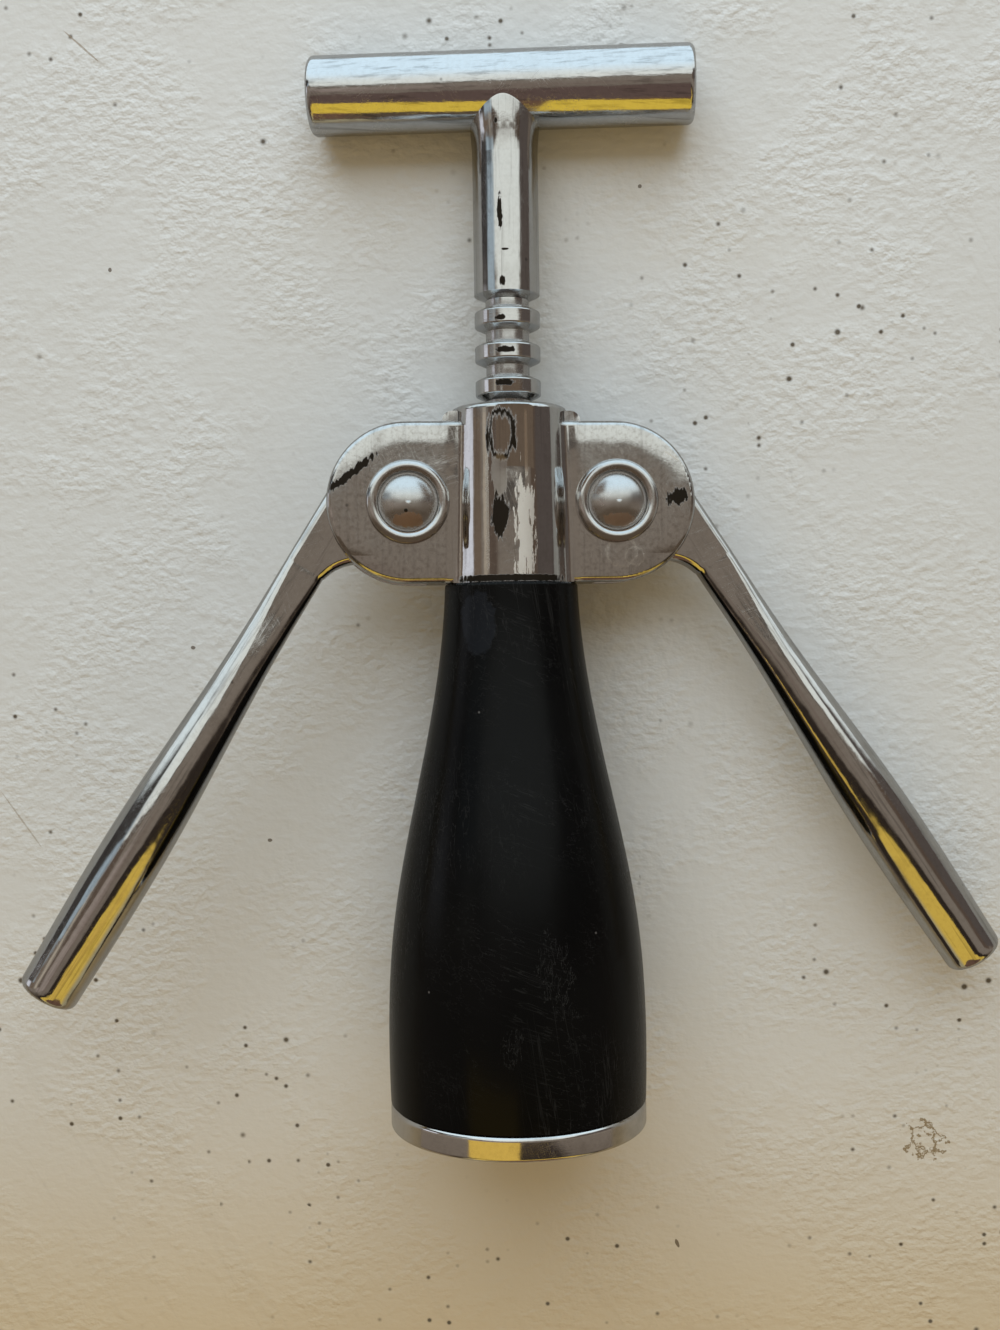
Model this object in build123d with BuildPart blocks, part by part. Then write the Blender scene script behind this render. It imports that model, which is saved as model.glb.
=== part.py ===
from build123d import *
import math
import os

# Wing corkscrew, with its levers a third of the way up and its worm half drawn.
# Z is up, X runs across the two levers and the front faces -Y. The origin is on
# the worm's axis at the foot of the bell. Lengths are in millimetres, angles in
# degrees.

# ---------------------------------------------------------------- fits
running_gap = 0.05  # radial, for what turns or slides in its bore
fixed_gap = 0.02  # radial, for what is pressed, brazed or screwed together
side_gap = 0.15  # between a lever and the ear on each side of it
thrust_gap = 0.05  # end play of the turning stem in its rack

# ---------------------------------------------------------------- bell and foot ring
bell_height = 79.0
bell_neck_radius = 9.7
bell_waist_radius = 13.35
bell_waist_height = 53.0
bell_shoulder_inset = 0.85  # the shoulder lies inside the belly by this
bell_shoulder_height = 28.5
bell_belly_swell = 0.15  # the belly stands out past the foot ring by this
bell_belly_height = 13.0
bell_edge = 0.5
mouth_radius = 15.1
mouth_depth = 16.0
cork_radius = 12.0
cork_chamber_height = 44.0
neck_cavity_radius = 8.3
neck_wall_height = 7.5
ring_height = 3.7
ring_radius = 18.7
ring_wall = 1.0
ring_lip = 0.6
ring_edge = 0.5

# ---------------------------------------------------------------- rack and its rings
rack_radius = 4.78
ring_depth = 1.61
ring_addendum = 0.86  # from the rings' pitch line out to their crests
rack_pitch = 5.0
rack_flank_angle = 25.0
ring_count = 9
first_ring_rise = 26.8  # from the pivots up to the top ring
ring_crest = 2.1
ring_rounding = 0.3

# ---------------------------------------------------------------- toothed sectors
sector_full_teeth = 14
sector_teeth = 8
teeth_below_rack_line = 2
tooth_backlash = 0.2
tip_gap = 0.3
root_gap = 0.15
swing_gap = 0.35
flank_spans = 3

# ---------------------------------------------------------------- frame casting
tube_rise = 2.3  # from the top of the ears to the top of the guide tube
tube_step = 0.7  # the tube's foot stands inside the bell's neck by this
tube_taper = 0.5
tube_edge = 0.8
spigot_radius = 6.6
spigot_gap = 0.2  # from the spigot's end to the nut's foot
ear_cover = 0.01  # the ears stand out past the toothed sectors by this
ear_thickness = 2.4
ear_rounding = 0.75
ear_fillet = 1.9
corner_bend = 40.0  # where the hollow corner's arc is halfway round
rivet_radius = 2.6

# ---------------------------------------------------------------- rivets and washers
washer_radius = 6.0
washer_floor = 0.5
bead_radius = 0.9
bead_rise = 0.55
dome_radius = 3.85
dome_height = 1.75
dome_lip = 0.35  # upright rim below the dome's curve
cap_socket = 0.9

# ---------------------------------------------------------------- levers
left_lever_angle = 31.9  # handle's angle from straight down
right_lever_angle = 33.4
lever_length = 87.3  # from the pivot to the tip, along the handle
handle_offset = 7.82  # the handle's axis passes outside the pivot by this
blade_width = 5.95
blade_thickness = 4.2
blade_rounding = 1.2
crook_radius = 7.0  # hollow curve between the blade and the sector
handle_start = 38.0
handle_start_radius = 3.4
handle_belly_radius = 4.65
handle_belly = 66.0
handle_tip_radius = 4.3
handle_tip_rounding = 1.2
first_swell = 24.0
first_swell_width = 5.98
first_swell_thickness = 4.9
first_swell_flat = 1.1  # left between the roundings of its narrow sides
second_swell = 31.0
second_swell_width = 6.3
second_swell_thickness = 6.0
second_swell_flat = 0.5

# ---------------------------------------------------------------- stem and crossbar
stem_foot_rise = 3.6  # from the top ring's middle up to the stem's foot
stem_length = 30.0  # from its foot to the crossbar's axis
stem_flare_length = 10.0  # its last stretch below the crossbar's axis
stem_flare_inset = 0.45  # the flared stem stands inside the crossbar by this
crossbar_radius = 5.65
crossbar_length = 56.1
crossbar_edge = 1.0
crossbar_turn = 8.0  # from the levers' plane, its right end forward
crossbar_shift = 0.45  # its middle stands to the left of the stem's axis by this
spigot_pin_radius = 2.2
spigot_pin_rise = 2.0
core_radius = 2.0

# ---------------------------------------------------------------- worm
worm_head_inset = 0.13  # the head stands inside the rack's rings by this
worm_head_length = 9.0
worm_socket_depth = 7.5
worm_wire_radius = 1.45
worm_wire_inset = 0.15  # the wire's outside stands inside the head by this
worm_pitch = 9.5
worm_tip_height = 18.0
worm_point_length = 5.0
worm_point_radius = 0.15
worm_pin_radius = 1.0
worm_pin_drop = 4.0

# ---------------------------------------------------------------- bell nut
nut_gap = 0.4  # radial, between the nut and the neck cavity
nut_height = 3.2
nut_notches = 4
nut_notch_width = 2.0
nut_notch_depth = 0.6

# ---------------------------------------------------------------- worked out
bell_belly_radius = ring_radius + bell_belly_swell
bell_shoulder_radius = bell_belly_radius - bell_shoulder_inset
tube_foot_radius = bell_neck_radius - tube_step
tube_top_radius = tube_foot_radius - tube_taper
rack_root_radius = rack_radius - ring_depth
pitch_radius = rack_pitch * sector_full_teeth / (2 * math.pi)
pivot_x = pitch_radius + rack_radius - ring_addendum
sector_tip_radius = pivot_x - rack_root_radius - tip_gap
sector_root_radius = pivot_x - rack_radius - root_gap
base_radius = pitch_radius * math.cos(math.radians(rack_flank_angle))
ear_radius = sector_tip_radius + ear_cover
pivot_height = bell_height + ear_radius
ear_top = pivot_height + ear_radius
tube_top_height = ear_top + tube_rise
slot_half = blade_thickness / 2 + side_gap
ear_face = slot_half + ear_thickness
flank_slope = math.tan(math.radians(rack_flank_angle))
flank_height = ring_depth * flank_slope
first_ring_height = pivot_height + first_ring_rise
last_ring_height = first_ring_height - (ring_count - 1) * rack_pitch
rack_foot_height = last_ring_height - ring_crest / 2 - flank_height
stem_foot_height = first_ring_height + stem_foot_rise
rack_top_height = stem_foot_height - flank_height - thrust_gap
crossbar_height = stem_foot_height + stem_length
stem_flare_height = crossbar_height - stem_flare_length
stem_flare_radius = crossbar_radius - stem_flare_inset
worm_head_top = rack_foot_height - thrust_gap
worm_head_radius = rack_radius - worm_head_inset
worm_helix_radius = worm_head_radius - worm_wire_inset - worm_wire_radius
nut_top = bell_height - neck_wall_height
nut_foot = nut_top - nut_height
nut_radius = neck_cavity_radius - nut_gap


def lever_angle(side):
    """A handle's angle from straight down, in radians; the two differ a little."""
    return math.radians(left_lever_angle if side < 0 else right_lever_angle)


def side_point(side, along, outward):
    """A point in the plane Y = 0, along a lever from its pivot and out from it."""
    angle = lever_angle(side)
    x = pivot_x + along * math.sin(angle) + outward * math.cos(angle)
    z = pivot_height - along * math.cos(angle) + outward * math.sin(angle)
    return (side * x, 0, z)


def side_direction(side):
    """The direction of a lever's handle, from its pivot to its tip."""
    angle = lever_angle(side)
    return (side * math.sin(angle), 0, -math.cos(angle))


def side_outward(side):
    """The direction across a lever, away from the bell."""
    angle = lever_angle(side)
    return (side * math.cos(angle), 0, math.sin(angle))


def axle_plane(side, face):
    """A plane through a pivot's axis, with its X radial and its Y out of an ear."""
    centre = (side * pivot_x, face * ear_face, pivot_height)
    return Plane(origin=centre, x_dir=(1, 0, 0), z_dir=(0, 0, face))


def axle_axis(side, face):
    """A pivot's axis, pointing out of the front (-1) or rear (1) ear."""
    return Axis((side * pivot_x, face * ear_face, pivot_height), (0, face, 0))


# ---------------------------------------------------------------- bell
def make_bell():
    """Hollow plastic bell: bottle mouth, cork chamber, neck cavity and neck wall."""
    skirt_radius = ring_radius - ring_wall - fixed_gap
    neck_bore = spigot_radius + fixed_gap
    with BuildPart() as bell:
        with BuildSketch(Plane.XZ):
            with BuildLine():
                Polyline((mouth_radius, ring_lip), (skirt_radius, ring_lip), (skirt_radius, ring_height))
                Line((skirt_radius, ring_height), (ring_radius, ring_height))
                Spline(
                    (ring_radius, ring_height),
                    (bell_belly_radius, bell_belly_height),
                    (bell_shoulder_radius, bell_shoulder_height),
                    (bell_waist_radius, bell_waist_height),
                    (bell_neck_radius, bell_height),
                )
                Polyline(
                    (bell_neck_radius, bell_height),
                    (neck_bore, bell_height),
                    (neck_bore, nut_top),
                    (neck_cavity_radius, nut_top),
                    (neck_cavity_radius, nut_foot),
                    (cork_radius, cork_chamber_height),
                    (cork_radius, mouth_depth),
                    (mouth_radius, mouth_depth),
                    (mouth_radius, ring_lip),
                )
            make_face()
        revolve(axis=Axis.Z)
        top_edges = bell.edges().filter_by(GeomType.CIRCLE).group_by(Axis.Z)[-1]
        fillet(top_edges.sort_by(SortBy.RADIUS)[-1], radius=bell_edge)
    bell.part.label = "bell"
    export_step(bell.part, "parts/bell.step")


def make_base_ring():
    """Bright metal ring that closes the foot of the bell and carries its rim."""
    with BuildPart() as base_ring:
        with BuildSketch(Plane.XZ):
            with BuildLine():
                Polyline(
                    (mouth_radius, 0),
                    (ring_radius, 0),
                    (ring_radius, ring_height),
                    (ring_radius - ring_wall, ring_height),
                    (ring_radius - ring_wall, ring_lip),
                    (mouth_radius, ring_lip),
                    close=True,
                )
            make_face()
        revolve(axis=Axis.Z)
        foot_edges = base_ring.edges().filter_by(GeomType.CIRCLE).group_by(Axis.Z)[0]
        fillet(foot_edges.sort_by(SortBy.RADIUS)[-1], radius=ring_edge)
    base_ring.part.label = "base_ring"
    export_step(base_ring.part, "parts/base_ring.step")


def make_bell_nut():
    """Ring nut on the casting's spigot, notched for a pin wrench."""
    with BuildPart() as bell_nut:
        with BuildSketch(Plane.XY.offset(nut_foot)):
            Circle(nut_radius)
            Circle(spigot_radius + fixed_gap, mode=Mode.SUBTRACT)
            with PolarLocations(nut_radius, nut_notches):
                Rectangle(2 * nut_notch_depth, nut_notch_width, mode=Mode.SUBTRACT)
        extrude(amount=nut_height)
    bell_nut.part.label = "bell_nut"
    export_step(bell_nut.part, "parts/bell_nut.step")


# ---------------------------------------------------------------- frame casting
def tube_radius(height):
    """The guide tube's outer radius, which narrows a little towards its top."""
    share = (height - bell_height) / (tube_top_height - bell_height)
    return tube_foot_radius + (tube_top_radius - tube_foot_radius) * share


def corner_section(side, face, height):
    """The hollow corner between an ear and the tube, as a flat outline at a height."""
    radius = tube_radius(height)
    arc_out = ear_face + ear_fillet
    arc_across = math.sqrt((radius + ear_fillet) ** 2 - arc_out**2)
    reach = radius / (radius + ear_fillet)
    on_ear = (side * arc_across, face * ear_face)
    on_tube = (side * arc_across * reach, face * arc_out * reach)
    middle_out = arc_out - ear_fillet * math.cos(math.radians(corner_bend))
    middle_across = arc_across - ear_fillet * math.sin(math.radians(corner_bend))
    inside = (side * slot_half, face * slot_half)
    with BuildSketch(Plane.XY.offset(height)) as section:
        with BuildLine():
            ThreePointArc(on_ear, (side * middle_across, face * middle_out), on_tube)
            Line(on_tube, inside)
            Line(inside, (side * arc_across, face * slot_half))
            Line((side * arc_across, face * slot_half), on_ear)
        make_face()
    return section.sketch


def make_frame_casting():
    """Guide tube with a spigot below it and a pair of slotted ears on each side."""
    bore_radius = rack_radius + running_gap
    spigot_foot = nut_foot + spigot_gap
    corners = [
        (corner_section(side, face, bell_height), corner_section(side, face, ear_top - ear_rounding))
        for side in (-1, 1)
        for face in (-1, 1)
    ]
    with BuildPart() as frame_casting:
        # ears as one rounded block, with its foot left flat for the bell
        with BuildSketch(Plane.XZ):
            with Locations((-pivot_x, pivot_height), (pivot_x, pivot_height)):
                Circle(ear_radius)
            with Locations((0, pivot_height)):
                Rectangle(2 * pivot_x, 2 * ear_radius)
        extrude(amount=ear_face, both=True)
        outline = frame_casting.faces().filter_by(Axis.Y).edges()
        above_foot = outline.filter_by(lambda edge: (edge @ 0.5).Z > bell_height + ear_rounding)
        fillet(above_foot, radius=ear_rounding)

        # guide tube and spigot
        with BuildSketch(Plane.XZ):
            with BuildLine():
                Polyline(
                    (0, spigot_foot),
                    (spigot_radius, spigot_foot),
                    (spigot_radius, bell_height),
                    (tube_foot_radius, bell_height),
                    (tube_top_radius, tube_top_height),
                    (0, tube_top_height),
                    close=True,
                )
            make_face()
        revolve(axis=Axis.Z)
        rim = frame_casting.edges().filter_by(GeomType.CIRCLE).group_by(Axis.Z)[-1]
        fillet(rim, radius=tube_edge)

        # hollow corners along the tube and hollow shoulders on top of the ears
        for foot_section, top_section in corners:
            add(foot_section)
            add(top_section)
            loft()
        shoulder_fillet = tube_rise - tube_edge
        shoulder_reach = tube_top_radius + shoulder_fillet
        shoulder_top = ear_top + shoulder_fillet
        inner_reach = tube_top_radius - tube_edge
        with BuildSketch(Plane.XZ):
            with BuildLine():
                Polyline((shoulder_reach, ear_top), (inner_reach, ear_top), (inner_reach, shoulder_top))
                Line((inner_reach, shoulder_top), (tube_top_radius, shoulder_top))
                RadiusArc((tube_top_radius, shoulder_top), (shoulder_reach, ear_top), shoulder_fillet)
            make_face()
            mirror(about=Plane.YZ)
        extrude(amount=ear_face - ear_rounding, both=True)

        # bore for the rack, slots for the levers and holes for the rivets
        with BuildSketch(Plane.XY.offset(spigot_foot)):
            Circle(bore_radius)
        extrude(amount=tube_top_height - spigot_foot, mode=Mode.SUBTRACT)
        with BuildSketch(Plane.XZ):
            with Locations((-pivot_x, pivot_height), (pivot_x, pivot_height)):
                Circle(sector_tip_radius + swing_gap)
            # open above, where a raised blade stands
            for side in (-1, 1):
                with Locations((side * (tube_top_radius + pivot_x) / 2, pivot_height)):
                    open_height = tube_top_height - pivot_height
                    Rectangle(pivot_x - tube_top_radius, open_height, align=(Align.CENTER, Align.MIN))
        extrude(amount=slot_half, both=True, mode=Mode.SUBTRACT)
        with BuildSketch(Plane.XZ):
            with Locations((-pivot_x, pivot_height), (pivot_x, pivot_height)):
                Circle(rivet_radius + fixed_gap)
        extrude(amount=ear_face, both=True, mode=Mode.SUBTRACT)
    frame_casting.part.label = "frame_casting"
    export_step(frame_casting.part, "parts/frame_casting.step")


# ---------------------------------------------------------------- rivets and washers
def make_rivets():
    """Pivot rivets: a domed front head and a shank through both ears."""
    shank_end = -2 * ear_face - washer_floor - cap_socket
    for name, side in (("left_rivet", -1), ("right_rivet", 1)):
        with BuildPart() as rivet:
            with BuildSketch(axle_plane(side, -1)):
                with BuildLine():
                    Polyline(
                        (0, shank_end),
                        (rivet_radius, shank_end),
                        (rivet_radius, washer_floor),
                        (dome_radius, washer_floor),
                        (dome_radius, washer_floor + dome_lip),
                    )
                    dome_top = washer_floor + dome_height
                    TangentArc((0, dome_top), (dome_radius, washer_floor + dome_lip), tangent=(1, 0))
                    Line((0, dome_top), (0, shank_end))
                make_face()
            revolve(axis=axle_axis(side, -1))
        rivet.part.label = name
        export_step(rivet.part, f"parts/{name}.step")


def make_rivet_caps():
    """Domed rear heads, pressed on the rivets' ends."""
    for name, side in (("left_rivet_cap", -1), ("right_rivet_cap", 1)):
        socket_top = washer_floor + cap_socket + fixed_gap
        socket_radius = rivet_radius + fixed_gap
        dome_top = washer_floor + dome_height
        with BuildPart() as cap:
            with BuildSketch(axle_plane(side, 1)):
                with BuildLine():
                    Polyline(
                        (0, dome_top),
                        (0, socket_top),
                        (socket_radius, socket_top),
                        (socket_radius, washer_floor),
                        (dome_radius, washer_floor),
                        (dome_radius, washer_floor + dome_lip),
                    )
                    TangentArc((0, dome_top), (dome_radius, washer_floor + dome_lip), tangent=(1, 0))
                make_face()
            revolve(axis=axle_axis(side, 1))
        cap.part.label = name
        export_step(cap.part, f"parts/{name}.step")


def make_washers():
    """Cupped washers: a flat floor under each rivet head and a raised bead round it."""
    bead_centre = washer_radius - bead_radius
    for place, face in (("front", -1), ("rear", 1)):
        for hand, side in (("left", -1), ("right", 1)):
            name = f"{hand}_{place}_washer"
            with BuildPart() as washer:
                with BuildSketch(axle_plane(side, face)):
                    with BuildLine():
                        Polyline(
                            (rivet_radius + fixed_gap, washer_floor),
                            (rivet_radius + fixed_gap, 0),
                            (washer_radius, 0),
                            (washer_radius, bead_rise),
                        )
                        ThreePointArc(
                            (washer_radius, bead_rise),
                            (bead_centre, bead_rise + bead_radius),
                            (bead_centre - bead_radius, bead_rise),
                        )
                        Polyline(
                            (bead_centre - bead_radius, bead_rise),
                            (bead_centre - bead_radius, washer_floor),
                            (rivet_radius + fixed_gap, washer_floor),
                        )
                    make_face()
                revolve(axis=axle_axis(side, face))
            washer.part.label = name
            export_step(washer.part, f"parts/{name}.step")


# ---------------------------------------------------------------- levers
def involute_half_angle(radius):
    """Half the angle that a sector tooth fills at a radius, in radians."""
    tooth_at_pitch = rack_pitch - ring_crest - 2 * ring_addendum * flank_slope - tooth_backlash
    pitch_pressure = math.radians(rack_flank_angle)
    pressure = math.acos(min(1, base_radius / radius))
    rolled = (math.tan(pitch_pressure) - pitch_pressure) - (math.tan(pressure) - pressure)
    return tooth_at_pitch / (2 * pitch_radius) + rolled


def polar_point(radius, angle):
    """The plane point at a radius and an angle in radians."""
    return (radius * math.cos(angle), radius * math.sin(angle))


def tooth_outline():
    """One sector tooth along local X, with involute flanks and an arc for its tip."""
    flank_start = max(sector_root_radius, base_radius)
    span = (sector_tip_radius - flank_start) / flank_spans
    flank_radii = [flank_start + span * step for step in range(flank_spans + 1)]
    right_flank = [polar_point(radius, -involute_half_angle(radius)) for radius in flank_radii]
    left_flank = [polar_point(radius, involute_half_angle(radius)) for radius in reversed(flank_radii)]
    root_angle = involute_half_angle(flank_start)
    inner_radius = sector_root_radius - root_gap * 2
    with BuildSketch() as tooth:
        with BuildLine():
            Line(polar_point(inner_radius, -root_angle), right_flank[0])
            Spline(*right_flank)
            ThreePointArc(right_flank[-1], (sector_tip_radius, 0), left_flank[0])
            Spline(*left_flank)
            Line(left_flank[-1], polar_point(inner_radius, root_angle))
            Line(polar_point(inner_radius, root_angle), polar_point(inner_radius, -root_angle))
        make_face()
    return tooth.sketch


def handle_plane(side, along):
    """The plane across a handle, with its X outward, centred on the handle's axis."""
    origin = side_point(side, along, handle_offset)
    return Plane(origin=origin, x_dir=side_outward(side), z_dir=side_direction(side))


def make_levers():
    """Wings: toothed sector, hollow crook, flat blade and a round swelling handle."""
    tooth = tooth_outline()
    blade_inner = handle_offset - blade_width / 2
    blade_outer = handle_offset + blade_width / 2
    crook_out = blade_inner - crook_radius
    crook_along = math.sqrt((sector_root_radius + crook_radius) ** 2 - crook_out**2)
    crook_turn = math.degrees(math.atan2(-crook_out, -crook_along))
    space_above_pivot = first_ring_rise % rack_pitch - rack_pitch / 2
    tooth_step = 360 / sector_full_teeth
    sector_sweep = sector_teeth * tooth_step
    first_tooth = math.degrees(space_above_pivot / pitch_radius) - teeth_below_rack_line * tooth_step
    for name, side in (("left_lever", -1), ("right_lever", 1)):
        # seen along local X, the line to the rack lies at -90 degrees less the handle's angle
        rack_line = -90 - math.degrees(lever_angle(side))
        last_tooth = rack_line - first_tooth - (sector_teeth - 1) * tooth_step
        # local X runs along the handle and local Y outward, away from the bell
        plane = Plane(origin=side_point(side, 0, 0), x_dir=side_direction(side), z_dir=(0, -side, 0))
        with BuildPart() as lever:
            # blade and crook, with rounded long edges
            with BuildSketch(plane):
                with BuildLine():
                    Polyline(
                        polar_point(sector_root_radius, math.radians(crook_turn + 180)),
                        (0, 0),
                        (0, blade_outer),
                        (crook_along, blade_outer),
                        (crook_along, blade_inner),
                    )
                    CenterArc((crook_along, crook_out), crook_radius, 90, crook_turn - 90)
                make_face()
            extrude(amount=blade_thickness / 2, both=True)
            handle_axis = Axis(side_point(side, 0, handle_offset), side_direction(side))
            long_edges = lever.edges().filter_by(GeomType.CIRCLE) + lever.edges().filter_by(handle_axis)
            fillet(long_edges, blade_rounding)

            # toothed sector; the rack lies inward of the pivot
            with BuildSketch(plane):
                Circle(sector_root_radius)
                with PolarLocations(0, sector_teeth, start_angle=last_tooth, angular_range=sector_sweep):
                    add(tooth)
            extrude(amount=blade_thickness / 2, both=True)

            # blade swelling into the round handle
            with BuildSketch(handle_plane(side, crook_along)):
                RectangleRounded(blade_width, blade_thickness, blade_rounding)
            with BuildSketch(handle_plane(side, first_swell)):
                rounding = (first_swell_thickness - first_swell_flat) / 2
                RectangleRounded(first_swell_width, first_swell_thickness, rounding)
            with BuildSketch(handle_plane(side, second_swell)):
                rounding = (second_swell_thickness - second_swell_flat) / 2
                RectangleRounded(second_swell_width, second_swell_thickness, rounding)
            with BuildSketch(handle_plane(side, handle_start)):
                full_round = handle_start_radius - fixed_gap
                RectangleRounded(2 * handle_start_radius, 2 * handle_start_radius, full_round)
            loft()

            # round handle with a flat tip
            with BuildSketch(plane):
                with BuildLine():
                    tip_edge = lever_length - handle_tip_rounding
                    swell = Spline(
                        (handle_start, handle_offset + handle_start_radius),
                        (handle_belly, handle_offset + handle_belly_radius),
                        (tip_edge, handle_offset + handle_tip_radius),
                    )
                    RadiusArc(
                        swell @ 1,
                        (lever_length, handle_offset + handle_tip_radius - handle_tip_rounding),
                        handle_tip_rounding,
                    )
                    Polyline(
                        (lever_length, handle_offset + handle_tip_radius - handle_tip_rounding),
                        (lever_length, handle_offset),
                        (handle_start, handle_offset),
                        (handle_start, handle_offset + handle_start_radius),
                    )
                make_face()
            revolve(axis=handle_axis)

            # hole for the rivet
            with BuildSketch(plane):
                Circle(rivet_radius + running_gap)
            extrude(amount=blade_thickness, both=True, mode=Mode.SUBTRACT)
        lever.part.label = name
        export_step(lever.part, f"parts/{name}.step")


# ---------------------------------------------------------------- rack
def make_rack():
    """Sleeve with round rings that the toothed sectors of both levers drive."""
    with BuildPart() as rack:
        with BuildSketch(Plane.XZ):
            with BuildLine():
                outline = [(core_radius + running_gap, rack_foot_height)]
                for ring in range(ring_count):
                    centre = last_ring_height + ring * rack_pitch
                    outline.append((rack_root_radius, centre - ring_crest / 2 - flank_height))
                    outline.append((rack_radius, centre - ring_crest / 2))
                    outline.append((rack_radius, centre + ring_crest / 2))
                    outline.append((rack_root_radius, centre + ring_crest / 2 + flank_height))
                outline.append((rack_root_radius, rack_top_height))
                outline.append((core_radius + running_gap, rack_top_height))
                Polyline(*outline, close=True)
            make_face()
        revolve(axis=Axis.Z)
        crests = rack.edges().filter_by(GeomType.CIRCLE).group_by(SortBy.RADIUS)[-1]
        fillet(crests, radius=ring_rounding)
    rack.part.label = "rack"
    export_step(rack.part, "parts/rack.step")


# ---------------------------------------------------------------- crossbar and stem
def crossbar_plane(along=0):
    """The plane across the crossbar at a distance along it from the stem's axis."""
    turn = math.radians(crossbar_turn)
    direction = (math.cos(turn), -math.sin(turn), 0)
    origin = (along * direction[0], along * direction[1], crossbar_height)
    return Plane(origin=origin, x_dir=(0, 0, 1), z_dir=direction)


def make_crossbar():
    """Round bar with softened ends and a blind hole for the stem."""
    with BuildPart() as crossbar:
        with BuildSketch(crossbar_plane(-crossbar_length / 2 - crossbar_shift)):
            Circle(crossbar_radius)
        extrude(amount=crossbar_length)
        fillet(crossbar.edges().filter_by(GeomType.CIRCLE), radius=crossbar_edge)
        with BuildSketch(Plane.XY.offset(crossbar_height - crossbar_radius)):
            Circle(spigot_pin_radius + fixed_gap)
        extrude(amount=crossbar_radius + spigot_pin_rise + fixed_gap, mode=Mode.SUBTRACT)
    crossbar.part.label = "crossbar"
    export_step(crossbar.part, "parts/crossbar.step")


def make_stem():
    """Round stem coped to the crossbar, with the core that turns in the rack."""
    core_foot = worm_head_top - worm_socket_depth + fixed_gap
    root_height = stem_foot_height - flank_height
    with BuildPart() as stem:
        with BuildSketch(Plane.XZ):
            with BuildLine():
                Polyline(
                    (0, crossbar_height),
                    (0, core_foot),
                    (core_radius, core_foot),
                    (core_radius, root_height),
                    (rack_root_radius, root_height),
                    (rack_radius, stem_foot_height),
                    (rack_radius, stem_flare_height),
                )
                Spline(
                    (rack_radius, stem_flare_height),
                    (stem_flare_radius, crossbar_height - crossbar_radius / 2),
                    tangents=((0, 1), (0, 1)),
                )
                Polyline(
                    (stem_flare_radius, crossbar_height - crossbar_radius / 2),
                    (stem_flare_radius, crossbar_height),
                    (0, crossbar_height),
                )
            make_face()
        revolve(axis=Axis.Z)
        with BuildSketch(crossbar_plane()):
            Circle(crossbar_radius + fixed_gap)
        extrude(amount=2 * stem_flare_radius, both=True, mode=Mode.SUBTRACT)
        with BuildSketch(Plane.XY.offset(stem_flare_height)):
            Circle(spigot_pin_radius)
        extrude(amount=crossbar_height + spigot_pin_rise - stem_flare_height)
        with BuildSketch(Plane.YZ):
            with Locations((0, worm_head_top - worm_pin_drop)):
                Circle(worm_pin_radius + fixed_gap)
        extrude(amount=core_radius, both=True, mode=Mode.SUBTRACT)
    stem.part.label = "stem"
    export_step(stem.part, "parts/stem.step")


# ---------------------------------------------------------------- worm
def make_worm():
    """Open wire helix with a ground point, on a round head that sockets the core."""
    head_foot = worm_head_top - worm_head_length
    helix_foot = worm_tip_height + worm_point_length / 2
    helix_height = head_foot + worm_wire_radius - helix_foot
    with BuildPart() as worm:
        with BuildLine():
            wire = Helix(worm_pitch, helix_height, worm_helix_radius, center=(0, 0, helix_foot))
        with BuildSketch(Plane(origin=wire @ 0, z_dir=wire % 0)):
            Circle(worm_wire_radius)
        sweep(path=wire, is_frenet=True)
        with BuildSketch(Plane(origin=wire @ 0, z_dir=wire % 0)):
            Circle(worm_wire_radius)
        point_plane = Plane(origin=(wire @ 0) - (wire % 0) * worm_point_length, z_dir=wire % 0)
        with BuildSketch(point_plane):
            Circle(worm_point_radius)
        loft()
        with BuildSketch(Plane.XY.offset(head_foot)):
            Circle(worm_head_radius)
        extrude(amount=worm_head_length)
        with BuildSketch(Plane.XY.offset(worm_head_top)):
            Circle(core_radius + fixed_gap)
        extrude(amount=-worm_socket_depth, mode=Mode.SUBTRACT)
        with BuildSketch(Plane.YZ):
            with Locations((0, worm_head_top - worm_pin_drop)):
                Circle(worm_pin_radius + fixed_gap)
        extrude(amount=worm_head_radius, both=True, mode=Mode.SUBTRACT)
    worm.part.label = "worm"
    export_step(worm.part, "parts/worm.step")


def make_worm_pin():
    """Cross pin through the worm's head and the core."""
    pin_half = worm_head_radius - 2 * running_gap
    with BuildPart() as worm_pin:
        with BuildSketch(Plane.YZ):
            with Locations((0, worm_head_top - worm_pin_drop)):
                Circle(worm_pin_radius)
        extrude(amount=pin_half, both=True)
    worm_pin.part.label = "worm_pin"
    export_step(worm_pin.part, "parts/worm_pin.step")


os.makedirs("parts", exist_ok=True)
make_bell()
make_base_ring()
make_bell_nut()
make_frame_casting()
make_rivets()
make_rivet_caps()
make_washers()
make_levers()
make_rack()
make_crossbar()
make_stem()
make_worm()
make_worm_pin()
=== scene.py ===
"""Wing corkscrew: chromed casting, levers, rack and screw over a black bell."""

import logging
import math
from dataclasses import dataclass
from enum import Enum
from typing import Callable, Union

import bmesh
import bpy
from mathutils import Matrix, Vector


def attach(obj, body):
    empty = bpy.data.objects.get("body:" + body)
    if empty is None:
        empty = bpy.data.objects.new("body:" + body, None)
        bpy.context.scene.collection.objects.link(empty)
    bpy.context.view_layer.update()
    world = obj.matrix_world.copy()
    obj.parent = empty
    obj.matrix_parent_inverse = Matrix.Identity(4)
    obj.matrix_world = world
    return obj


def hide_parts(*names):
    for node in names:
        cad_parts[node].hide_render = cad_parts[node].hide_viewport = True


logging.basicConfig(level=logging.INFO, format="%(message)s")
LOG = logging.getLogger("corkscrew")

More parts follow.
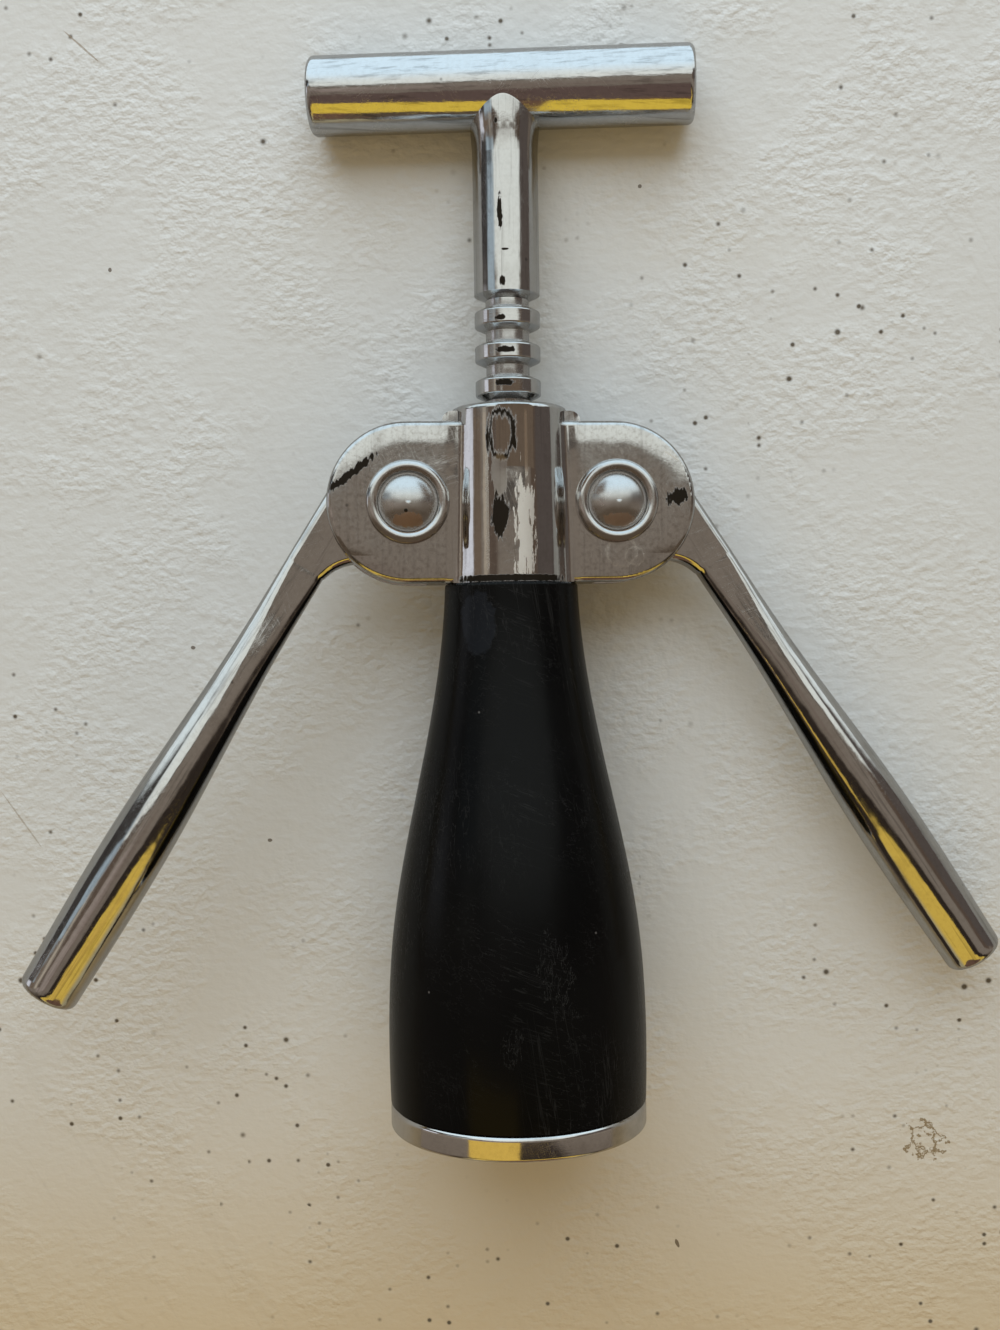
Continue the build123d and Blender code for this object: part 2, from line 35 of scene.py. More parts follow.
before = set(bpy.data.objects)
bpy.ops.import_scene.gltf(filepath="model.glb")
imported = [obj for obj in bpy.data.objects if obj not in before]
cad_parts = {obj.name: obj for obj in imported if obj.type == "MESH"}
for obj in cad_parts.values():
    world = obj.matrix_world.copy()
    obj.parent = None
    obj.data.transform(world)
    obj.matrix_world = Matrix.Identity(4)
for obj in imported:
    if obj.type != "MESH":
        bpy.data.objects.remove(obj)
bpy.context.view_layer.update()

MM = 0.001
TOUCHING = 1e-6  # metres, within which two places are one
Pair = tuple[float, float]
Triple = tuple[float, float, float]
Colour = tuple[float, float, float]
Outputs = bpy.types.NodeOutputs
Socket = bpy.types.NodeSocket
Value = Union[float, Triple, Socket]


# ------------------------------------------------------------------ node graphs
class Graph:
    """A node tree, with short calls for the nodes that the finishes use."""

    def __init__(self, tree: bpy.types.NodeTree) -> None:
        """Keep the tree that the calls add to."""
        self.tree = tree

    def feed(self, socket: Socket, value: Value) -> None:
        """Link a socket to another one, or set its own value."""
        if isinstance(value, bpy.types.NodeSocket):
            self.tree.links.new(value, socket)
        elif socket.type == "RGBA":
            socket.default_value = (*value, 1.0)
        else:
            socket.default_value = value

    def fill(self, node: bpy.types.Node, inputs: dict) -> None:
        """Feed a node's inputs, by name or number."""
        for key, value in inputs.items():
            self.feed(node.inputs[key], value)

    def add(self, kind: str, inputs: dict | None = None, **settings: object) -> bpy.types.Node:
        """Add a node.

        Args:
            kind: The node's type, without its "ShaderNode" prefix.
            inputs: Values or sockets for its inputs, by name or number.
            settings: The node's own properties.

        Returns:
            The node.
        """
        node = self.tree.nodes.new("ShaderNode" + kind)
        for name, setting in settings.items():
            setattr(node, name, setting)
        self.fill(node, inputs or {})
        return node

    def math(self, operation: str, *values: Value, clamp: bool = False) -> Socket:
        """Return the result of a Math node."""
        node = self.add("Math", dict(enumerate(values)), operation=operation, use_clamp=clamp)
        return node.outputs[0]

    def times(self, first: Value, second: Value, clamp: bool = False) -> Socket:
        """Return the product of two values."""
        return self.math("MULTIPLY", first, second, clamp=clamp)

    def pile(self, value: Value, *parts: tuple[Value, Value]) -> Socket:
        """Return a value with shares of others added to it."""
        for part, share in parts:
            value = self.math("MULTIPLY_ADD", part, share, value)
        return value

    def vector(self, operation: str, *values: Value) -> Socket:
        """Return the result of a Vector Math node."""
        node = self.add("VectorMath", dict(enumerate(values)), operation=operation)
        return node.outputs[1 if operation in ("DOT_PRODUCT", "LENGTH") else 0]

    def split(self, vector: Socket) -> Outputs:
        """Return the three parts of a vector."""
        return self.add("SeparateXYZ", {0: vector}).outputs

    def join(self, x: Value, y: Value, z: Value) -> Socket:
        """Return a vector made of three parts."""
        return self.add("CombineXYZ", {0: x, 1: y, 2: z}).outputs[0]

    def span(self, value: Value, low: Value, high: Value, first: float = 0.0, last: float = 1.0) -> Socket:
        """Return a value eased from one level to another as it crosses a range."""
        inputs = {"Value": value, "From Min": low, "From Max": high, "To Min": first, "To Max": last}
        return self.add("MapRange", inputs, interpolation_type="SMOOTHSTEP").outputs[0]

    def level_lines(self, level: Socket, width: float) -> Socket:
        """Return thin lines where a level crosses its middle."""
        off = self.math("ABSOLUTE", self.math("SUBTRACT", level, 0.5))
        return self.span(off, 0.0, width, 1.0, 0.0)

    def between(self, value: Value, low: float, high: float, soft: float) -> Socket:
        """Return 1 where a value lies in a range, easing to 0 over a soft margin."""
        rising = self.span(value, low - soft, low + soft)
        falling = self.span(value, high - soft, high + soft, 1.0, 0.0)
        return self.times(rising, falling)

    def blend(self, factor: Value, first: Value, second: Value) -> Socket:
        """Return a mix of two colours."""
        return self.add("Mix", {0: factor, 6: first, 7: second}, data_type="RGBA").outputs[2]

    def layers(self, colour: Value, *coats: tuple[Value, Value]) -> Socket:
        """Return a colour with tints laid over it in turn, each by its mask."""
        for mask, tint in coats:
            colour = self.blend(mask, colour, tint)
        return colour

    def noise(self, vector: Socket, scale: Value, detail: float = 2.0, roughness: float = 0.5) -> Socket:
        """Return the level of a noise texture."""
        inputs = {"Vector": vector, "Scale": scale, "Detail": detail, "Roughness": roughness}
        return self.add("TexNoise", inputs).outputs["Fac"]

    def place(self) -> Socket:
        """Return the object's own coordinates, in metres."""
        return self.add("TexCoord").outputs["Object"]

    def effect(self, group: bpy.types.NodeTree, **inputs: Value) -> Socket:
        """Return the first output of a shared effect, with this finish's own values."""
        node = self.add("Group")
        node.node_tree = group
        self.fill(node, {name.replace("_", " "): value for name, value in inputs.items()})
        return node.outputs[0]

    def mix(self, factor: Socket, first: Socket, second: Socket) -> Socket:
        """Return a mix of two shaders."""
        return self.add("MixShader", {0: factor, 1: first, 2: second}).outputs[0]

    def hide(self, shader: Socket, hidden: Socket) -> None:
        """Make a shader the material's surface, and clear where it is hidden."""
        clear = self.add("BsdfTransparent").outputs[0]
        self.feed(self.tree.nodes["Material Output"].inputs["Surface"], self.mix(hidden, shader, clear))


def blank(name: str) -> tuple[bpy.types.Material, Graph, bpy.types.Node]:
    """Return a new material with its graph and its shader."""
    material = bpy.data.materials.new(name)
    material.use_nodes = True
    return material, Graph(material.node_tree), material.node_tree.nodes["Principled BSDF"]


def show(name: str, data: bpy.types.ID) -> bpy.types.Object:
    """Return a new object that stands in the scene."""
    item = bpy.data.objects.new(name, data)
    bpy.context.scene.collection.objects.link(item)
    return item


def sheet(name: str, corners: list[Vector], towards: Vector, paint: bpy.types.Material) -> bpy.types.Object:
    """Build one flat face.

    Args:
        name: The object's name.
        corners: Its corners in order, in metres.
        towards: A direction on the side that it faces.
        paint: Its material.

    Returns:
        The object.
    """
    mesh = bpy.data.meshes.new(name)
    mesh.from_pydata(corners, [], [range(len(corners))])
    if mesh.polygons[0].normal.dot(towards) < 0:
        mesh.flip_normals()
    mesh.materials.append(paint)
    return show(name, mesh)


# ------------------------------------------------------------------ shared effects
class EffectShop:
    """Shader node groups that more than one finish uses, each built once."""

    VECTORS = ("Vector", "Centre", "Half Size")

    def __init__(self) -> None:
        """Build every group."""
        self.hairlines = self.build("hairlines", self._hairlines, "Vector", "Scale", "Turn", "Share")
        self.cloud = self.build("cloud", self._cloud, "Vector", "Scale", "Low", "High")
        self.edges = self.build("edge wear", self._edges, "Radius", "Gain")
        self.crevice = self.build("crevice grime", self._crevice, "Distance", "Gain")
        self.specks = self.build("specks", self._specks, "Vector", "Scale", "Share", "Size")
        self.mark = self.build(
            "placed mark", self._mark,
            "Vector", "Centre", "Half Size", "Turn", "Hollow", "Square", "Ragged", "Noise",
        )

    def build(
        self, name: str, draw: Callable[[Graph, Outputs], Socket], *inputs: str,
    ) -> bpy.types.NodeTree:
        """Build one group with a single Mask output.

        Args:
            name: The group's name.
            draw: The method that adds its nodes and returns the mask.
            inputs: The names of its inputs, which are numbers unless VECTORS has them.

        Returns:
            The group's node tree.
        """
        tree = bpy.data.node_groups.new(name, "ShaderNodeTree")
        for label in inputs:
            kind = "NodeSocketVector" if label in self.VECTORS else "NodeSocketFloat"
            tree.interface.new_socket(label, in_out="INPUT", socket_type=kind)
        tree.interface.new_socket("Mask", in_out="OUTPUT", socket_type="NodeSocketFloat")
        graph = Graph(tree)
        entry = tree.nodes.new("NodeGroupInput")
        leave = tree.nodes.new("NodeGroupOutput")
        graph.feed(leave.inputs[0], draw(graph, entry.outputs))
        return tree

    @staticmethod
    def _hairlines(graph: Graph, given: Outputs) -> Socket:
        """Draw long thin lines at one angle: the level lines of a stretched noise."""
        stretch, width = (1.0, 1.0, 0.035), 0.012
        turn = graph.join(0.0, given["Turn"], 0.0)
        turned = graph.add("Mapping", {"Vector": given["Vector"], "Rotation": turn}).outputs[0]
        level = graph.noise(graph.vector("MULTIPLY", turned, stretch), given["Scale"], 3.0, 0.6)
        patchy = graph.noise(given["Vector"], graph.times(given["Scale"], 0.09), 2.0)
        kept = graph.times(graph.level_lines(level, width), graph.span(patchy, 0.42, 0.62))
        return graph.times(kept, given["Share"], clamp=True)

    @staticmethod
    def _cloud(graph: Graph, given: Outputs) -> Socket:
        """Draw soft uneven patches."""
        level = graph.noise(given["Vector"], given["Scale"], 4.0, 0.6)
        return graph.span(level, given["Low"], given["High"])

    @staticmethod
    def _edges(graph: Graph, given: Outputs) -> Socket:
        """Find outward edges, where the softened normal leaves the true one."""
        soft = graph.add("Bevel", {"Radius": given["Radius"]}, samples=4).outputs[0]
        true = graph.add("NewGeometry").outputs["Normal"]
        apart = graph.math("SUBTRACT", 1.0, graph.vector("DOT_PRODUCT", soft, true))
        return graph.times(apart, given["Gain"], clamp=True)

    @staticmethod
    def _crevice(graph: Graph, given: Outputs) -> Socket:
        """Find hollows, where nearby faces close in."""
        reach = {"Distance": given["Distance"]}
        opening = graph.add("AmbientOcclusion", reach, samples=6, only_local=True).outputs["AO"]
        return graph.times(graph.math("SUBTRACT", 1.0, opening), given["Gain"], clamp=True)

    @staticmethod
    def _specks(graph: Graph, given: Outputs) -> Socket:
        """Scatter small round specks in a share of the cells."""
        grid = {"Vector": given["Vector"], "Scale": given["Scale"]}
        cells = graph.add("TexVoronoi", grid).outputs
        chosen = graph.math("LESS_THAN", graph.split(cells["Color"])[0], given["Share"])
        return graph.times(graph.span(cells["Distance"], given["Size"], 0.0), chosen)

    @staticmethod
    def _mark(graph: Graph, given: Outputs) -> Socket:
        """Draw one ragged oval or patch, seen from the front, filled or hollow."""
        x, _, z = graph.split(graph.vector("SUBTRACT", given["Vector"], given["Centre"]))
        cosine, sine = graph.math("COSINE", given["Turn"]), graph.math("SINE", given["Turn"])
        along = graph.math("ADD", graph.times(x, cosine), graph.times(z, sine))
        across = graph.math("SUBTRACT", graph.times(z, cosine), graph.times(x, sine))
        scaled = graph.vector("DIVIDE", graph.join(along, 1.0, across), given["Half Size"])
        part = graph.split(graph.vector("ABSOLUTE", scaled))
        powers = [graph.math("POWER", part[index], given["Square"]) for index in (0, 2)]
        root = graph.math("DIVIDE", 1.0, given["Square"])
        far = graph.math("POWER", graph.math("ADD", *powers), root)
        far = graph.pile(far, (graph.math("SUBTRACT", given["Noise"], 0.5), given["Ragged"]))
        outside = graph.span(far, 0.86, 1.02, 1.0, 0.0)
        hollow = given["Hollow"]
        inputs = {"Value": far, "From Min": graph.times(hollow, 0.8), "From Max": hollow}
        inside = graph.add("MapRange", inputs).outputs[0]
        filled = graph.math("LESS_THAN", hollow, 0.01)
        return graph.times(outside, graph.math("MAXIMUM", inside, filled))


@dataclass(frozen=True)
class Mark:
    """A stain, chip or worn patch, or a painted highlight or reflection, at one place on a piece.

    Sizes are in millimetres, in the upright corkscrew's front view.

    Attributes:
        turn: Its lean in degrees.
        hollow: The share of its size that is left open in its middle.
        square: 2 for an oval, and more for a patch with corners.
        ragged: How far its outline wanders.
    """

    centre: Pair
    half_size: Pair
    colour: Colour
    strength: float = 1.0
    turn: float = 0.0
    hollow: float = 0.0
    square: float = 2.0
    ragged: float = 1.2
    roughness: float = 0.5
    metal: float = 1.0

    def draw(self, graph: Graph, shop: EffectShop, place: Socket, noise: Socket) -> Socket:
        """Return the mark's mask."""
        mask = graph.effect(
            shop.mark,
            Vector=place,
            Centre=(self.centre[0] * MM, 0.0, self.centre[1] * MM),
            Half_Size=(self.half_size[0] * MM, 1.0, self.half_size[1] * MM),
            Turn=math.radians(self.turn),
            Hollow=self.hollow,
            Square=self.square,
            Ragged=self.ragged,
            Noise=noise,
        )
        return graph.times(mask, self.strength)


# ------------------------------------------------------------------ finishes
GRIT = 2600.0  # the scale of the finest grain


class Lay(Enum):
    """Which way the polishing lines run on a piece."""

    ROUND = "round the upright axis"
    UPRIGHT = "up and down"
    LEVEL = "along the crossbar"
    SPLAYED = "along the levers at rest"


@dataclass(frozen=True)
class Chrome:
    """Worn decorative chrome on a turned, drawn or cast piece.

    Attributes:
        waviness: How far the mirror wanders from the true surface.
        scratches: The strength of the thin scratches.
        brushing: The depth of the polishing streaks.
        tarnish: The strength of the dull patches.
        grime: The strength of the dirt in the hollows.
        grime_distance: How far the dirt reaches out of a corner, in millimetres.
        wear: How bright the outward edges are rubbed.
        mark_grain: How far the marks' ragged outlines are drawn out upwards.
        marks: The stains and chips at known places, and on the rivets the painted reflections.
    """

    name: str
    colour: Colour = (0.62, 0.615, 0.605)
    roughness: float = 0.07
    waviness: float = 0.35
    lay: Lay = Lay.UPRIGHT
    scratches: float = 0.5
    brushing: float = 1.0
    tarnish: float = 0.3
    tarnish_colour: Colour = (0.2, 0.165, 0.13)
    drawn_colour: Colour = (0.16, 0.15, 0.145)
    scratch_colour: Colour = (0.72, 0.72, 0.72)
    grime: float = 0.6
    grime_colour: Colour = (0.07, 0.052, 0.038)
    grime_distance: float = 1.2
    wear: float = 0.4
    wear_colour: Colour = (0.72, 0.71, 0.7)
    speck_colour: Colour = (0.05, 0.045, 0.04)
    mark_grain: float = 0.35
    marks: tuple[Mark, ...] = ()

    def pitted(self, graph: Graph, place: Socket) -> Value:
        """Return where the casting's skin is left unpolished: nowhere on turned work."""
        return 0.0

    def crown(self, graph: Graph, place: Socket) -> Socket | None:
        """Return how far polishing has rounded the faces down: not at all on turned work."""
        return None

    def lines(self, graph: Graph, shop: EffectShop, place: Socket) -> Socket:
        """Return the mask of thin scratches."""
        lean = 0.75 if self.lay is Lay.LEVEL else 0.35
        first = graph.effect(shop.hairlines, Vector=place, Scale=1300.0, Turn=lean, Share=1.0)
        second = graph.effect(shop.hairlines, Vector=place, Scale=900.0, Turn=lean - 1.6, Share=1.0)
        return graph.times(graph.math("MAXIMUM", first, second), self.scratches)

    def streaks(self, graph: Graph, place: Socket) -> Socket:
        """Return the level of the polishing streaks, drawn out along the lay."""
        drawn_out, cosine, sine = 0.03, 0.84, 0.54
        x, y, z = graph.split(place)
        if self.lay is Lay.ROUND:
            reach = graph.vector("LENGTH", graph.join(x, y, 0.0))
            run = graph.join(reach, 0.0, graph.times(z, 3.0))
        elif self.lay is Lay.UPRIGHT:
            run = graph.join(x, y, graph.times(z, drawn_out))
        elif self.lay is Lay.LEVEL:
            run = graph.join(graph.times(x, drawn_out), y, z)
        else:
            aside = graph.math("ABSOLUTE", x)
            across = graph.math("ADD", graph.times(aside, cosine), graph.times(z, sine))
            along = graph.math("SUBTRACT", graph.times(aside, sine), graph.times(z, cosine))
            run = graph.join(across, y, graph.times(along, drawn_out))
        return graph.noise(run, 1500.0, 4.0, 0.6)

    def relief(self, graph: Graph, place: Socket, pitted: Value, lines: Socket, streaks: Socket) -> Socket:
        """Return the normal of the uneven mirror."""
        height = graph.pile(
            graph.noise(place, 130.0, 2.0, 0.45),
            (graph.noise(place, 900.0, 2.0, 0.5), 0.03),
            (lines, -0.015),
            (streaks, self.brushing * 0.03),
            (graph.times(graph.noise(place, GRIT, 3.0, 0.6), pitted), 0.05),
        )
        bump = graph.add("Bump", {"Height": height, "Strength": self.waviness, "Distance": 0.25 * MM})
        crown = self.crown(graph, place)
        if crown is not None:
            rounded = graph.add("Bump", {"Height": crown, "Strength": 1.0, "Distance": 1.0})
            graph.feed(bump.inputs["Normal"], rounded.outputs[0])
        return bump.outputs[0]

    def build(self, shop: EffectShop) -> bpy.types.Material:
        """Build the material.

        Args:
            shop: The shared effects.

        Returns:
            The material.
        """
        material, graph, shader = blank(self.name)
        place = graph.place()
        pitted = self.pitted(graph, place)
        lines, streaks = self.lines(graph, shop, place), self.streaks(graph, place)
        cloud = graph.effect(shop.cloud, Vector=place, Scale=170.0, Low=0.48, High=0.78)
        bloom = graph.effect(shop.cloud, Vector=place, Scale=1500.0, Low=0.42, High=0.72)
        spotty = graph.math("MULTIPLY_ADD", pitted, 0.25, 0.1)
        grime = graph.effect(shop.crevice, Distance=self.grime_distance * MM, Gain=1.6)
        grime = graph.times(grime, self.grime)
        worn = graph.effect(shop.edges, Radius=0.25 * MM, Gain=6.0)
        specks = graph.effect(shop.specks, Vector=place, Scale=420.0, Share=0.07, Size=0.16)
        colour = graph.layers(
            self.colour,
            (graph.times(cloud, self.tarnish), self.tarnish_colour),
            (graph.times(bloom, spotty), self.tarnish_colour),
            (graph.times(graph.span(streaks, 0.5, 0.72), 0.07 * self.brushing), self.drawn_colour),
            (graph.times(lines, 0.3), self.scratch_colour),
            (grime, self.grime_colour),
            (graph.times(worn, self.wear), self.wear_colour),
            (graph.times(specks, 0.6), self.speck_colour),
        )
        roughness = graph.pile(self.roughness, (cloud, 0.08), (grime, 0.35), (lines, 0.22), (pitted, 0.06))
        metallic = graph.math("SUBTRACT", 1.0, graph.times(grime, 0.5))
        drawn = graph.vector("MULTIPLY", place, (1.0, 1.0, self.mark_grain))
        ragged = graph.noise(drawn, 1700.0, 4.0, 0.65)
        front = graph.math("LESS_THAN", graph.split(place)[1], 0.0)
        # Each mark's colour is laid over the chrome; on the rivets these are painted reflections.
        for mark in self.marks:
            mask = graph.times(mark.draw(graph, shop, place, ragged), front)
            colour = graph.blend(mask, colour, mark.colour)
            roughness = graph.pile(roughness, (mask, mark.roughness - self.roughness))
            metallic = graph.math("MULTIPLY_ADD", mask, mark.metal - 1.0, metallic, clamp=True)
        normal = self.relief(graph, place, pitted, lines, streaks)
        graph.fill(shader, {
            "Base Color": colour, "Roughness": roughness, "Metallic": metallic, "Specular IOR Level": 0.08,
            "Normal": normal,
        })
        return material


@dataclass(frozen=True)
class CastChrome(Chrome):
    """Chrome over a casting whose ears are less polished than its middle.

    Sizes are in millimetres. Past its flat radius, an ear's face falls away.
    """

    polished_half_width: float = 8.9
    polish_fade: float = 1.2
    ear_middle: Pair = (15.06, 90.6)
    flat_radius: float = 8.1
    crown_curve: float = 16.0

    def pitted(self, graph: Graph, place: Socket) -> Value:
        """Return 1 on the ears and 0 on the tube between them."""
        aside = graph.math("ABSOLUTE", graph.split(place)[0])
        edge = self.polished_half_width
        return graph.span(aside, edge * MM, (edge + self.polish_fade) * MM)

    def crown(self, graph: Graph, place: Socket) -> Socket:
        """Return the height of the ears' faces, rounded down towards their outline."""
        x, _, z = graph.split(place)
        aside = graph.math("ABSOLUTE", x)
        beyond = graph.math("MAXIMUM", graph.math("SUBTRACT", aside, self.ear_middle[0] * MM), 0.0)
        rise = graph.math("SUBTRACT", z, self.ear_middle[1] * MM)
        reach = graph.vector("LENGTH", graph.join(beyond, 0.0, rise))
        past = graph.math("MAXIMUM", graph.math("SUBTRACT", reach, self.flat_radius * MM), 0.0)
        drop = graph.times(graph.math("POWER", past, 2.0), -self.crown_curve)
        return graph.times(drop, self.pitted(graph, place))


@dataclass(frozen=True)
class SatinPlastic:
    """Black moulded plastic, dulled by handling."""

    name: str
    colour: Colour = (0.0018, 0.0019, 0.002)
    haze_colour: Colour = (0.003, 0.003, 0.0028)
    line_colour: Colour = (0.07, 0.07, 0.068)
    dust_colour: Colour = (0.2, 0.19, 0.18)
    roughness: float = 0.22
    marks: tuple[Mark, ...] = ()
    scuffs: tuple[Mark, ...] = ()

    def build(self, shop: EffectShop) -> bpy.types.Material:
        """Build the material.

        Args:
            shop: The shared effects.

        Returns:
            The material.
        """
        material, graph, shader = blank(self.name)
        place = graph.place()
        haze = graph.effect(shop.cloud, Vector=place, Scale=60.0, Low=0.4, High=0.7)
        hair = graph.effect(shop.hairlines, Vector=place, Scale=500.0, Turn=0.15, Share=0.5)
        crossing = graph.effect(shop.hairlines, Vector=place, Scale=800.0, Turn=1.2, Share=0.4)
        lines = graph.math("MAXIMUM", hair, crossing)
        ragged = graph.noise(place, 500.0, 3.0, 0.6)
        drawn = graph.vector("MULTIPLY", place, (1.0, 1.0, 0.3))
        fine = graph.level_lines(graph.noise(drawn, 1500.0, 3.0, 0.6), 0.02)
        for scuff in self.scuffs:
            scuffed = graph.times(fine, scuff.draw(graph, shop, place, ragged))
            lines = graph.math("MAXIMUM", lines, scuffed)
        dust = graph.effect(shop.specks, Vector=place, Scale=520.0, Share=0.025, Size=0.13)
        colour = graph.blend(graph.times(haze, 0.5), self.colour, self.haze_colour)
        # Each mark's colour is laid over the plastic; on the bell it is a painted highlight.
        for mark in self.marks:
            colour = graph.blend(mark.draw(graph, shop, place, ragged), colour, mark.colour)
        dusty = (graph.times(dust, 0.5), self.dust_colour)
        colour = graph.layers(colour, (graph.times(lines, 0.25), self.line_colour), dusty)
        height = graph.pile(graph.noise(place, GRIT, 2.0, 0.5), (lines, -0.3))
        bump = graph.add("Bump", {"Height": height, "Strength": 0.1, "Distance": 0.03 * MM})
        roughness = graph.pile(self.roughness, (haze, 0.06), (lines, 0.15))
        graph.fill(shader, {
            "Base Color": colour, "Roughness": roughness, "Specular IOR Level": 0.12, "Normal": bump.outputs[0],
        })
        return material


# ------------------------------------------------------------------ places of the marks
SOOT: Colour = (0.012, 0.009, 0.006)
STAIN: Colour = (0.13, 0.09, 0.05)
RUBBED: Colour = (0.82, 0.79, 0.73)
CHIP: Colour = (0.12, 0.1, 0.08)


def black_mark(centre: Pair, half_size: Pair, **shape: float) -> Mark:
    """Return a black mark that hides the metal: mostly a stain, and on the left rivet a dark painted
    reflection.
    """
    return Mark(centre, half_size, SOOT, metal=0.0, **shape)


CAST_MARKS = (
    black_mark((-1.9, 99.8), (2.2, 3.8), hollow=0.76, square=2.6, ragged=0.9),
    Mark((-2.2, 94.0), (1.3, 3.2), STAIN, 0.6, ragged=1.6, metal=0.6),
    black_mark((-2.2, 88.2), (1.2, 3.0), ragged=2.6),
    Mark((1.3, 86.0), (1.35, 7.0), RUBBED, 0.7, square=4.0, ragged=3.2, roughness=0.42, metal=0.7),
    Mark((1.6, 98.3), (0.22, 5.1), RUBBED, 0.9, square=6.0, ragged=0.5, roughness=0.3),
    Mark((-3.95, 88.4), (0.24, 8.4), RUBBED, 0.7, square=6.0, ragged=0.6, roughness=0.3),
    black_mark((-0.4, 79.5), (7.6, 0.5), square=6.0, ragged=1.0),
    black_mark((-23.2, 94.6), (4.6, 0.6), turn=37.0, ragged=2.6),
    black_mark((24.0, 91.2), (1.7, 1.2), turn=20.0, ragged=2.6),
    Mark((23.2, 97.0), (1.3, 0.16), RUBBED, 0.8, turn=-35.0, ragged=0.8, roughness=0.3),
    Mark((15.7, 83.2), (2.4, 2.4), RUBBED, 0.35, hollow=0.9, ragged=0.7, roughness=0.3),
    Mark((17.6, 82.6), (1.5, 1.5), RUBBED, 0.3, hollow=0.88, ragged=0.7, roughness=0.3),
)
STEM_MARKS = (
    black_mark((-1.3, 132.1), (0.3, 2.7), ragged=3.0),
    black_mark((-0.6, 126.7), (0.6, 0.17), ragged=1.4),
    black_mark((-1.1, 122.2), (0.45, 0.8), ragged=2.2),
    black_mark((-1.7, 145.0), (0.22, 0.4), ragged=1.0),
)
RACK_MARKS = (
    black_mark((-1.4, 117.0), (0.8, 0.45), ragged=2.0),
    black_mark((-0.8, 112.4), (1.4, 0.5), ragged=2.0),
    black_mark((-0.9, 107.7), (1.4, 0.5), ragged=2.0),
)
# Painted reflections on the domes: a dark dot below the middle and an orange-brown lower half.
RIVET_PAINTED_REFLECTIONS = (
    black_mark((-15.4, 89.2), (0.3, 0.3), ragged=0.6),
    Mark((-15.2, 87.9), (2.4, 1.1), (0.4, 0.21, 0.08), 0.7, metal=0.8),
    Mark((15.0, 87.8), (2.4, 1.0), (0.42, 0.23, 0.1), 0.6, metal=0.8),
)
# A faint bluish painted highlight of the window on the bell's shoulder.
BELL_PAINTED_HIGHLIGHT = (Mark((-5.4, 73.3), (2.4, 4.6), (0.012, 0.014, 0.018), 0.5, ragged=0.8),)
BELL_SCUFFS = (
    Mark((3.8, 24.5), (2.5, 5.6), SOOT, 0.9, turn=12.0, ragged=2.0),
    Mark((-2.4, 15.8), (1.6, 3.4), SOOT, 0.7, turn=-20.0, ragged=2.0),
)
SILL_MARKS = (
    Mark((-63.0, 161.7), (3.6, 0.16), (0.25, 0.2, 0.14), 0.7, turn=-42.0, ragged=0.8),
    Mark((-77.0, 43.0), (6.0, 0.14), (0.3, 0.26, 0.2), 0.6, turn=-56.0, ragged=0.8),
    Mark((66.3, -10.0), (2.9, 2.7), (0.2, 0.145, 0.07), 0.9, hollow=0.74, ragged=3.2),
    Mark((27.4, -27.5), (0.3, 0.8), (0.12, 0.09, 0.06), 0.9, turn=20.0, ragged=0.8),
    Mark((-48.6, 70.3), (0.35, 0.3), CHIP, 0.9),
    Mark((-42.5, 67.0), (0.3, 0.3), CHIP, 0.9),
    Mark((-37.2, 39.4), (0.4, 0.3), CHIP, 0.9),
    Mark((20.7, 138.6), (0.3, 0.3), CHIP, 0.9),
    Mark((-59.7, 128.6), (0.25, 0.3), CHIP, 0.9),
)


# ------------------------------------------------------------------ sub-assemblies
@dataclass
class SubAssembly:
    """A group of pieces that share finishes.

    Attributes:
        shop: The shared effects.
    """

    shop: EffectShop

    def dress(self, finish: Chrome | SatinPlastic, *nodes: str) -> None:
        """Give carried-over solids one finish.

        Args:
            finish: The finish.
            nodes: The solids' names.
        """
        material = finish.build(self.shop)
        for name in nodes:
            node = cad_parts[name]
            node.data.materials.clear()
            node.data.materials.append(material)
            LOG.info("%s: %s", name, finish.name)

    def settle(
        self, mesh: bmesh.types.BMesh, name: str, body: str, slot: str, sharp: float = 32.0,
    ) -> bpy.types.Object:
        """Turn a shaped mesh into the visible piece that stands for one solid.

        Args:
            mesh: The shaped mesh, which is freed.
            name: The solid that it stands for.
            body: The body that it moves with.
            slot: Not used.
            sharp: The angle in degrees past which an edge stays crisp.

        Returns:
            The piece.
        """
        bmesh.ops.recalc_face_normals(mesh, faces=mesh.faces)
        for face in mesh.faces:
            face.smooth = True
        for edge in mesh.edges:
            edge.smooth = not edge.is_manifold or edge.calc_face_angle(0.0) < math.radians(sharp)
        data = bpy.data.meshes.new(name + "_shaped")
        mesh.to_mesh(data)
        mesh.free()
        piece = show(name + "_shaped", data)
        even = piece.modifiers.new("even light", "WEIGHTED_NORMAL")
        even.mode = "FACE_AREA"
        even.weight = 50
        even.keep_sharp = True
        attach(piece, body)
        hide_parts(name)
        LOG.info("%s: %d faces", piece.name, len(data.polygons))
        return piece


